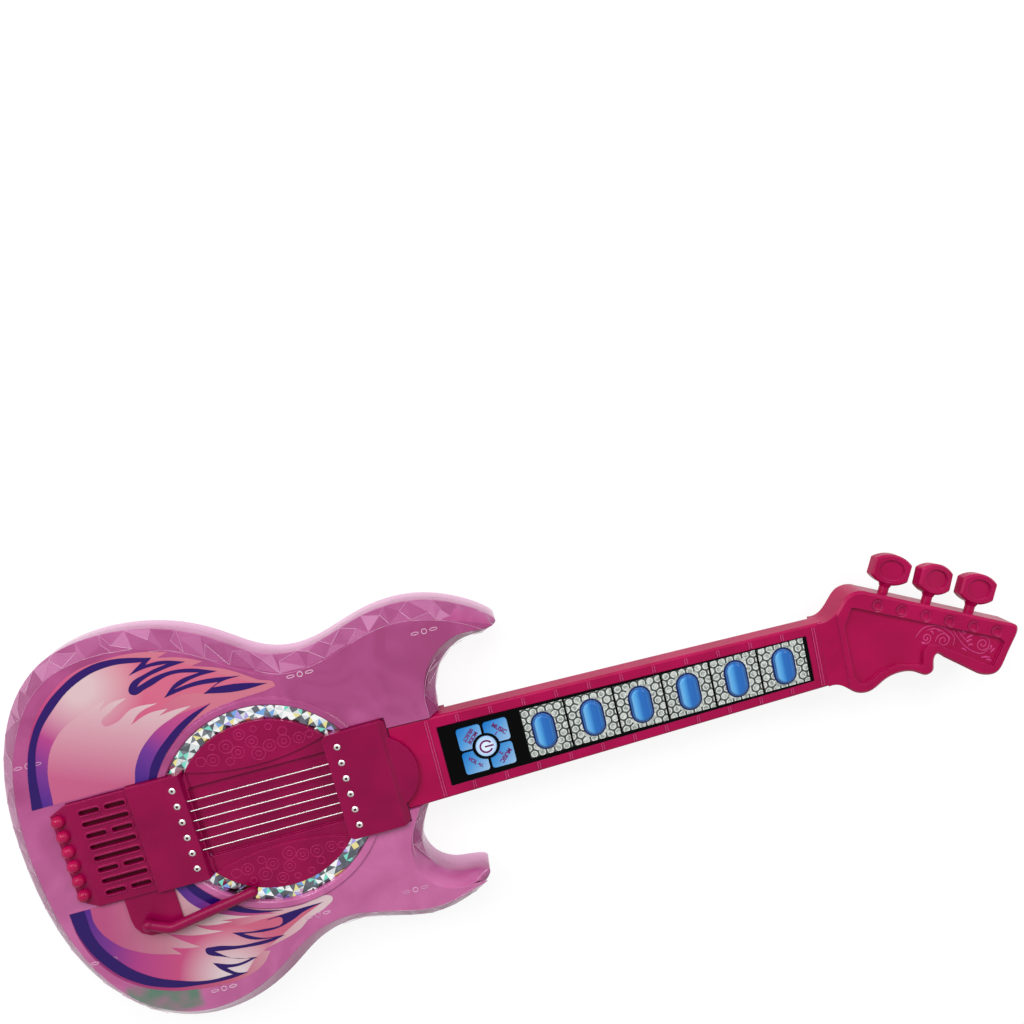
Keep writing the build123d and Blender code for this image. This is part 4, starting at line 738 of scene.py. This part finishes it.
def makeRimFacets():
    rows = rimPairs()
    lengths = [0.0]
    for before, after in zip(rows, rows[1:]):
        lengths.append(lengths[-1] + (after[0] - before[0]).length)
    print("rim foot", len(rows), "points,", round(lengths[-1] * 1000), "mm")

    def at(run, share, lift):
        run = min(max(run, 0.0), lengths[-1])
        i = max(j for j, length in enumerate(lengths) if length <= run)
        i = min(i, len(rows) - 2)
        part = (run - lengths[i]) / max(lengths[i + 1] - lengths[i], 1e-9)
        low = rows[i][0].lerp(rows[i + 1][0], part)
        high = rows[i][1].lerp(rows[i + 1][1], part)
        across = high - low
        along = (rows[i + 1][0] - rows[i][0]).normalized()
        out = across.cross(along).normalized()
        out = out if out.z > 0 else -out
        return low + across * share + out * lift * mm

    shell = frame["nodes"]["front_shell"].data
    surface = BVHTree.FromPolygons([v.co for v in shell.vertices],
                                   [tuple(f.vertices) for f in shell.polygons])

    def onShell(place):
        return surface.find_nearest(place)[3] < rimPlan["near"] * mm

    dice = random.Random(rimPlan["seed"])
    count = int(lengths[-1] * 1000 / rimPlan["pitch"])
    pitch = lengths[-1] / count
    edge, foot, rise = (rimPlan[key] for key in ("edge", "foot", "top"))
    places = []
    faces = []
    ridges = []
    for i in range(count):
        start = i * pitch
        skew = pitch * dice.uniform(-rimPlan["skew"], rimPlan["skew"]) if 0 < i < count - 1 else 0
        corners = [at(start, foot, edge), at(start + pitch, foot, edge), at(start + pitch, rise, edge),
                   at(start, rise, edge)]
        top = at(start + pitch * dice.uniform(*rimPlan["peakAlong"]) + skew,
                 dice.uniform(*rimPlan["peakAcross"]), rimPlan["lift"] * dice.uniform(0.5, 1.0))
        for a, b in zip(corners, corners[1:] + corners[:1]):
            if onShell(a) and onShell(b) and onShell(top):
                faces.append((len(places), len(places) + 1, len(places) + 2))
                places += [a, b, top]
        for corner in dice.sample(corners, 2):
            if onShell(corner) and onShell(top):
                ridges.append((corner, top))
    data = bpy.data.meshes.new("rimFacets")
    data.from_pydata(places, [], faces)
    data.update()
    if sum(face.normal.z for face in data.polygons) < 0:
        data.flip_normals()
    addPiece("rimFacets", data, clearFacet, "guitar")
    # pale ridge lines along the facet edges: painted highlight
    curve = newCurve("3D", bevel_depth=rimPlan["ridge"] * mm, bevel_resolution=1, use_fill_caps=True)
    lines = ridges + [(a[1], b[1]) for a, b in zip(rows, rows[1:])
                      if onShell(a[1]) and onShell(b[1]) and (a[1] - b[1]).length < rimPlan["longest"] * mm]
    for ends in lines:
        addLine(curve, [(*place, 1) for place in ends])
    addPiece("rimRidgeHighlights", meshOf(curve), clearRidgeHighlight, "guitar")


bossPlan = {"ring": 1.5, "slot": 5.5, "slotHalf": (2.2, 0.8), "line": 0.3, "top": 32.0,
            "discReach": 68, "blockHalf": 36, "blockEnd": -70}


def middles(node, reach):
    # the middle in mm of each separate lump of a node, from its own vertices
    groups = []
    for vertex in frame["nodes"][node].data.vertices:
        spot = Vector((vertex.co.x, vertex.co.y))
        for group in groups:
            if (group[0] - spot).length < reach * mm:
                group.append(spot)
                break
        else:
            groups.append([spot])
    return [((min(s.x for s in group) + max(s.x for s in group)) / 2 / mm,
             (min(s.y for s in group) + max(s.y for s in group)) / 2 / mm) for group in groups]


def makeBossMarks():
    strokes = []
    for x, y in middles("body_screws", 8):
        underBlock = abs(y) < bossPlan["blockHalf"] and x < bossPlan["blockEnd"]
        if math.hypot(x, y) < bossPlan["discReach"] or underBlock:
            continue
        strokes.append((circlePoints(x, y, bossPlan["ring"], 16), True))
        for side in (-1, 1):
            wide, tall = bossPlan["slotHalf"]
            slot = [(x + side * bossPlan["slot"] + wide * cx, y + tall * cy)
                    for cx, cy in circlePoints(0, 0, 1, 16)]
            strokes.append((slot, True))
    # the marks over the screw posts are drawn in the pale ridge finish: painted highlight
    relief("bossMarks", strokes, bossPlan["line"], bossPlan["top"], clearRidgeHighlight, "guitar")


makeRimFacets()
makeBossMarks()
print("rim made")

# bubbles on the sound disc pads: x, y, ring radius for the upper pad, mirrored on the lower
bubblePlan = {
    "rings": [(-30.2, 36.2, 2.8), (-23.2, 35.4, 3.6), (-14, 32, 2.3), (-14, 41.3, 3.9), (-8.3, 36.2, 3.6),
              (-4.9, 46.4, 3.2), (2.8, 32.4, 3.9), (0.9, 40.4, 3.4), (3.8, 47.6, 1.8), (10, 35.4, 3.5),
              (12.3, 46.6, 1.9), (19.4, 42, 2.4), (18.6, 35.6, 3.7), (27.4, 35.4, 3.3), (33.6, 36, 2.1),
              (-21.7, 43.2, 1.8)],
    "top": 32.6, "line": 0.26, "double": 3, "inner": 0.42,
}


def makeBubbles():
    strokes = []
    for x, y, radius in bubblePlan["rings"]:
        for side in (1, -1):
            strokes.append((circlePoints(x, y * side, radius), True))
            if radius > bubblePlan["double"]:
                strokes.append((circlePoints(x, y * side, radius * bubblePlan["inner"], 18), True))
    # the rings are drawn in the paler relief magenta: painted highlight on raised edges
    relief("bubbleRings", strokes, bubblePlan["line"], bubblePlan["top"], magentaRelief, "guitar")


makeBubbles()

# dark crimson sheet under the grille: painted shade seen through the slots of the grille
slotShadePlan = {"inset": 3.0, "lip": 0.5, "below": 2.25, "thick": 0.15}


def makeSlotShadeSheet():
    low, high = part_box("speaker_grille")
    top = high.z - slotShadePlan["lip"] * mm
    inset = slotShadePlan["inset"] * mm
    shape = bmesh.new()
    bmesh.ops.create_cube(shape, size=1)
    data = meshFrom(shape, "slotShadeSheet")
    size = Vector((high.x - low.x - 4 * inset, high.y - low.y - 2 * inset, slotShadePlan["thick"] * mm))
    centre = Vector(((low.x + high.x) / 2 + inset, (low.y + high.y) / 2, top - slotShadePlan["below"] * mm))
    data.transform(Matrix.Translation(centre) @ Matrix.Diagonal((*size, 1)))
    addPiece("slotShadeSheet", data, slotShade, "guitar")


makeSlotShadeSheet()

# wound strings
stringPlan = {"radius": 0.34, "wave": 0.07, "pitch": 1.5, "sides": 10, "step": 0.25}


def makeStrings():
    # nickel wire wound round a core: a bright twisted line
    for number in range(1, 7):
        node = "string_%d" % number
        low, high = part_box(node)
        middle = (low + high) / 2 / mm
        shape = bmesh.new()
        count = int((high.x - low.x) / mm / stringPlan["step"])
        previous = None
        for i in range(count + 1):
            x = low.x / mm + (high.x - low.x) / mm * i / count
            ring = []
            for side in range(stringPlan["sides"]):
                turn = 2 * math.pi * side / stringPlan["sides"]
                swell = math.cos(2 * (turn - 2 * math.pi * x / stringPlan["pitch"]))
                radius = stringPlan["radius"] + stringPlan["wave"] * swell
                ring.append(shape.verts.new((x * mm, (middle.y + radius * math.cos(turn)) * mm,
                                             (middle.z + radius * math.sin(turn)) * mm)))
            if previous:
                for a in range(stringPlan["sides"]):
                    b = (a + 1) % stringPlan["sides"]
                    shape.faces.new((previous[a], previous[b], ring[b], ring[a]))
            else:
                shape.faces.new(ring)
            previous = ring
        shape.faces.new(previous[::-1])
        bmesh.ops.recalc_face_normals(shape, faces=shape.faces)
        data = meshFrom(shape, "woundString%d" % number)
        for face in data.polygons:
            face.use_smooth = True
        piece = addPiece("woundString%d" % number, data, nickel, "guitar")
        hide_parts(node)


makeStrings()

# painted shade: dark discs in the ends of the twelve pins
pinPlan = {"hole": 0.62, "height": 36.22}


def makePinHoleShades():
    shape = bmesh.new()
    for node in ("bridge_pins", "nut_pins"):
        for x, y in middles(node, 5):
            ring = [shape.verts.new((px * mm, py * mm, pinPlan["height"] * mm))
                    for px, py in circlePoints(x, y, pinPlan["hole"], 16)]
            shape.faces.new(ring)
    addPiece("pinHoleShades", meshFrom(shape, "pinHoleShades"), slotShade, "guitar")


makePinHoleShades()
print("bubbles and strings made")

# honeycomb tiles round the keys
darkInk = makeInk("greyInkPrinted", [(0.0, "#3c4440")])
whiteInk = makeInk("whiteInkPrinted", [(0.0, "#e4e8e4")])
navyInk = makeInk("navyInkPrinted", [(0.0, "#0a1650")])
tilePlan = {
    "half": 15, "gap": 1.3, "firstLeft": 11.6, "tallStart": 15.4, "tallEnd": 13.8, "shift": 0.5,
    "flange": 1.2, "spare": 0.5, "outline": 0.55,
    # heights of the tile, its key outline and the cells over the panel
    "lifts": (0.03, 0.05, 0.09),
    # hexagons: pitch, centre to corner as a share of it, line width and inset of each print
    "pitch": 5.0, "corner": 0.577, "cells": (0.55, 0.35), "rims": (0.5, 0.95),
}


def hexStrips(left, wide, reach):
    # the edges of hexagonal cells as flat strips
    pitch = tilePlan["pitch"]
    strips = []
    rise = pitch * math.sqrt(3) / 2
    for row in range(-8, 9):
        for column in range(-1, 8):
            x = left + (column + 0.5 * (row % 2)) * pitch
            y = row * rise
            corners = [(x + reach * math.sin(t), y + reach * math.cos(t))
                       for t in (math.pi / 3 * i for i in range(6))]
            for a, b in zip(corners, corners[1:] + corners[:1]):
                run = Vector((b[0] - a[0], b[1] - a[1])).normalized() * wide / 2
                side = Vector((-run.y, run.x))
                a2, b2 = Vector(a) - run * 0.5, Vector(b) + run * 0.5
                strips.append([a2 - side, b2 - side, b2 + side, a2 + side])
    return strips


def addHexPrint(name, middle, left, right, tall, hole, material, height, wide, reach):
    shape = bmesh.new()
    for strip in hexStrips(left, wide, reach):
        centre = sum(strip, Vector((0, 0))) / 4
        if abs(centre.x - middle) < hole[0] and abs(centre.y) < hole[1]:
            continue
        if not (left - 2 < centre.x < right + 2 and abs(centre.y) < tall + 2):
            continue
        shape.faces.new([shape.verts.new((p.x * mm, p.y * mm, height * mm)) for p in strip])
    shift = tilePlan["shift"]
    for place, normal in (((left, 0, 0), (-1, 0, 0)), ((right, 0, 0), (1, 0, 0)),
                          ((0, shift + tall, 0), (0, 1, 0)), ((0, shift - tall, 0), (0, -1, 0))):
        everything = list(shape.verts) + list(shape.edges) + list(shape.faces)
        bmesh.ops.bisect_plane(shape, geom=everything, plane_co=Vector(place) * mm, plane_no=normal,
                               clear_outer=True)
    addPiece(name, meshFrom(shape, name), material, "guitar")


def makeTiles():
    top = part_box("control_overlay")[1].z / mm
    tileLift, outlineLift, cellLift = tilePlan["lifts"]
    for number in range(6):
        key = "key_%d" % (number + 1)
        low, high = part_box(key)
        middle = (low.x + high.x) / 2 / mm
        reachOut = tilePlan["half"] - tilePlan["gap"] / 2
        left = middle - (reachOut if number else tilePlan["firstLeft"])
        right = middle + reachOut
        share = number / 5
        tall = tilePlan["tallStart"] + share * (tilePlan["tallEnd"] - tilePlan["tallStart"])
        curve = newCurve("2D", fill_mode="BOTH", extrude=sheetHalf * mm)
        halfWide = (high.x - low.x) / 2 / mm - tilePlan["flange"] + tilePlan["spare"]
        halfTall = (high.y - low.y) / 2 / mm - tilePlan["flange"] + tilePlan["spare"]
        bottom, upper = tilePlan["shift"] - tall, tilePlan["shift"] + tall
        outline = [(left, bottom), (right, bottom), (right, upper), (left, upper)]
        hole = []
        for quarter, (cx, cy) in enumerate(((1, 1), (-1, 1), (-1, -1), (1, -1))):
            for i in range(6):
                turn = math.pi / 2 * (quarter + i / 5)
                reach = halfWide - 0.01
                hole.append((middle + cx * (halfWide - reach) + reach * math.cos(turn),
                             cy * (halfTall - reach) + reach * math.sin(turn)))
        for points in (outline, hole):
            addLine(curve, [(x * mm, y * mm, 0, 1) for x, y in points], True)
        data = meshOf(curve)
        data.transform(Matrix.Translation((0, 0, (top + tileLift) * mm)))
        addPiece("honeycombTile%d" % (number + 1), data, honeycombPrint, "guitar")
        relief("keyOutline%d" % (number + 1), [(hole, True)], tilePlan["outline"], top + outlineLift,
               navyInk, "guitar")
        hole = (halfWide + tilePlan["spare"], halfTall + tilePlan["spare"])
        for part, material in (("Cells", darkInk), ("Rims", whiteInk)):
            wide, inset = tilePlan[part.lower()]
            addHexPrint("honeycomb%s%d" % (part, number + 1), middle, left, right, tall, hole, material,
                        top + cellLift, wide, tilePlan["pitch"] * tilePlan["corner"] - inset)


makeTiles()

# words and signs at the controls
padPlan = {
    # node, body, word lines with place from the button's middle, turn in degrees
    "mode_pad": [("MODE", (-6.6, 7.4), -135, 3.2), ("SELECT", (-8.9, 9.7), -135, 3.0)],
    "music_1_pad": [("MUSIC", (9.9, 8.7), -45, 3.7), ("1", (7.5, 6.3), -45, 3.5)],
    "volume_pad": [("VOL +/-", (-8.3, -8.1), -45, 3.3)],
    "music_2_pad": [("MUSIC", (9.9, -8.7), -135, 3.7), ("2", (7.5, -6.3), -135, 3.5)],
}
signPlan = {"radius": 3.6, "half": 0.55, "open": 32, "bar": (-0.9, 4.4, 0.5)}
letterPlan = {"thick": 0.03, "squeeze": 0.92, "bold": 0.14}


def makeWords():
    ink = makeInk("plumInkPrinted", [(0.0, "#6a1660")])
    low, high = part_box("power_button")
    middle = (low + high) / 2
    for node, lines in padPlan.items():
        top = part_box(node)[1].z
        for number, (text, place, turn, size) in enumerate(lines, start=1):
            curve = bpy.data.curves.new("words", "FONT")
            curve.body = text
            curve.size = size * mm
            curve.align_x = "CENTER"
            curve.align_y = "CENTER"
            curve.extrude = letterPlan["thick"] * mm
            curve.offset = letterPlan["bold"] * mm
            data = meshOf(curve)
            data.transform(Matrix.Scale(letterPlan["squeeze"], 4, (1, 0, 0)))
            spot = Vector((middle.x + place[0] * mm, middle.y + place[1] * mm, top + 0.03 * mm))
            data.transform(Matrix.Translation(spot) @ Matrix.Rotation(math.radians(turn), 4, "Z"))
            addPiece("%sWord%d" % (node.replace("_", ""), number), data, ink, node)
    outer = signPlan["radius"] + signPlan["half"]
    inner = signPlan["radius"] - signPlan["half"]
    x, y = middle.x / mm, middle.y / mm
    turns = [math.radians(signPlan["open"] + (360 - 2 * signPlan["open"]) * i / 24) for i in range(25)]
    arc = [(x + outer * math.cos(t), y + outer * math.sin(t), 1) for t in turns]
    arc += [(x + inner * math.cos(t), y + inner * math.sin(t), 1) for t in reversed(turns)]
    top = high.z / mm
    printShape("powerRing", arc, 0.03, ink, "power_button", top, 1)
    start, end, half = signPlan["bar"]
    bar = [(x + start, y - half, 1), (x + end, y - half, 1),
           (x + end, y + half, 1), (x + start, y + half, 1)]
    printShape("powerBar", bar, 0.05, ink, "power_button", top, 1)


def dressPads():
    for node in padPlan:
        low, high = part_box(node)
        material = makePadBlue(node.replace("_", "") + "FilmPrinted", (low.x, high.y, high.z),
                               (high.x, low.y, high.z))
        for spot in frame["nodes"][node].material_slots:
            spot.material = material
    low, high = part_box("power_button")
    centre = (low + high) / 2
    button = makeInk("powerFilmPrinted", [(0.0, "#e3f0fa"), (0.45, "#cfe2f4"), (1.0, "#7fb2e4")],
                     centre=(centre.x / mm, centre.y / mm), end=7.5)
    for spot in frame["nodes"]["power_button"].material_slots:
        spot.material = button


makeWords()
dressPads()
print("controls made")

# painted highlight: paler lines along the edges of the fret bars, and rings on the strip of the headstock
fretPlan = {"top": 31.5, "line": 0.22, "shortest": 2.0}
roundPlan = {"start": (375.0, 32.5), "run": (86.5, -43.8), "first": 8.4, "step": 15.9, "out": -6.6,
             "radius": 2.9, "top": 33.9, "line": 0.26, "count": 6}


def makeHeadRounds():
    # the rings lie along the straight edge that carries the tuners
    edge = Vector(roundPlan["run"]).normalized()
    outwards = Vector((-edge.y, edge.x))
    strokes = []
    for i in range(roundPlan["count"]):
        along = roundPlan["first"] + roundPlan["step"] * i
        spot = Vector(roundPlan["start"]) + edge * along + outwards * roundPlan["out"]
        strokes.append((circlePoints(spot.x, spot.y, roundPlan["radius"], 24), True))
    # rings in the paler relief magenta: painted highlight
    relief("headRounds", strokes, roundPlan["line"], roundPlan["top"], magentaRelief, "guitar")


def makeFretLines():
    data = frame["nodes"]["neck_front_shell"].data
    found = {}
    for edge in data.edges:
        a, b = (data.vertices[i].co for i in edge.vertices)
        level = max(abs(a.z - fretPlan["top"] * mm), abs(b.z - fretPlan["top"] * mm)) < 0.02 * mm
        if level and abs(a.x - b.x) < 0.05 * mm and abs(a.y - b.y) > fretPlan["shortest"] * mm:
            found[round(a.x / mm, 1), a.y > 0] = ([(a.x / mm, a.y / mm), (b.x / mm, b.y / mm)], False)
    print("fret lines", len(found))
    # paler magenta lines along the bar edges: painted highlight
    relief("fretLines", list(found.values()), fretPlan["line"], fretPlan["top"], magentaLineHighlight,
           "guitar")


makeFretLines()
makeHeadRounds()

# scroll relief on the tail of the headstock
scrollPlan = {
    "floor": 32.0, "line": 0.36,
    # spirals: centre, outer radius, turns, start angle, hand
    "spirals": [((406.8, -6.3), 3.6, 1.6, 200, 1), ((417.1, -10.6), 5.0, 1.7, 175, -1),
                ((441.3, -19.6), 5.2, 1.9, 100, -1), ((431.1, -9), 1.6, 1.2, 60, 1)],
    "stems": [[(400.2, -4), (405.3, 0.2), (412.9, 0.4), (419.8, -3.7), (424.2, -10.4), (422.4, -15.5)],
              [(424.1, -5.4), (426.2, -10.8), (429.7, -17.4), (434.2, -22.4), (439.9, -25.4), (445.2, -23)],
              [(408, -1.6), (413, -1.8), (417.5, -5), (420.8, -10)],
              [(427.5, -7), (430, -12.5), (433.4, -17)]],
    "leaves": [((436, -12.3), (431.6, -13.3)), ((435, -14.8), (431.2, -15.6)), ((435.2, -18.4), (432, -17.9)),
               ((448.6, -24.3), (445.3, -26.3)), ((446.8, -21.8), (445.4, -24.4)),
               ((444.7, -29.5), (439, -27.8)), ((445.2, -32.2), (442, -30)),
               ((427.6, -18.7), (430.4, -21.6)), ((410, -2.6), (411.6, -5)),
               ((414.6, -3), (415.4, -4.6)), ((421.1, -9.4), (420.2, -12.6)), ((403.5, -8.8), (405.4, -10.2))],
}


def smoothLine(points, swell):
    # a rounded line through the points, thinner at both ends
    out = []
    for i in range(len(points) - 1):
        before = Vector(points[max(i - 1, 0)])
        a = Vector(points[i])
        b = Vector(points[i + 1])
        after = Vector(points[min(i + 2, len(points) - 1)])
        for step in range(6):
            t = step / 6
            spot = 0.5 * (2 * a + (b - before) * t + (2 * before - 5 * a + 4 * b - after) * t * t
                          + (3 * a - before - 3 * b + after) * t ** 3)
            out.append(spot)
    out.append(Vector(points[-1]))
    last = len(out) - 1
    return [(p.x, p.y, swell * (0.35 + 0.65 * math.sin(math.pi * i / last))) for i, p in enumerate(out)]


def makeScrolls():
    strokes = []
    for (x, y), radius, turns, start, hand in scrollPlan["spirals"]:
        line = []
        for i in range(36):
            share = i / 35
            angle = math.radians(start) + hand * 2 * math.pi * turns * share
            reach = radius * (1 - 0.86 * share)
            line.append((x + reach * math.cos(angle), y + reach * math.sin(angle), 0.7 + 0.5 * share))
        strokes.append((line, False))
    for stem in scrollPlan["stems"]:
        strokes.append((smoothLine(stem, 1.2), False))
    for tip, root in scrollPlan["leaves"]:
        middle = ((tip[0] + root[0]) / 2 + 0.3, (tip[1] + root[1]) / 2 + 0.3)
        strokes.append((smoothLine([tip, middle, root], 2.0), False))
    # the scroll relief is drawn in the paler line magenta: painted highlight
    relief("headScrolls", strokes, scrollPlan["line"], scrollPlan["floor"], magentaLineHighlight, "guitar")


makeScrolls()
print("headstock made")
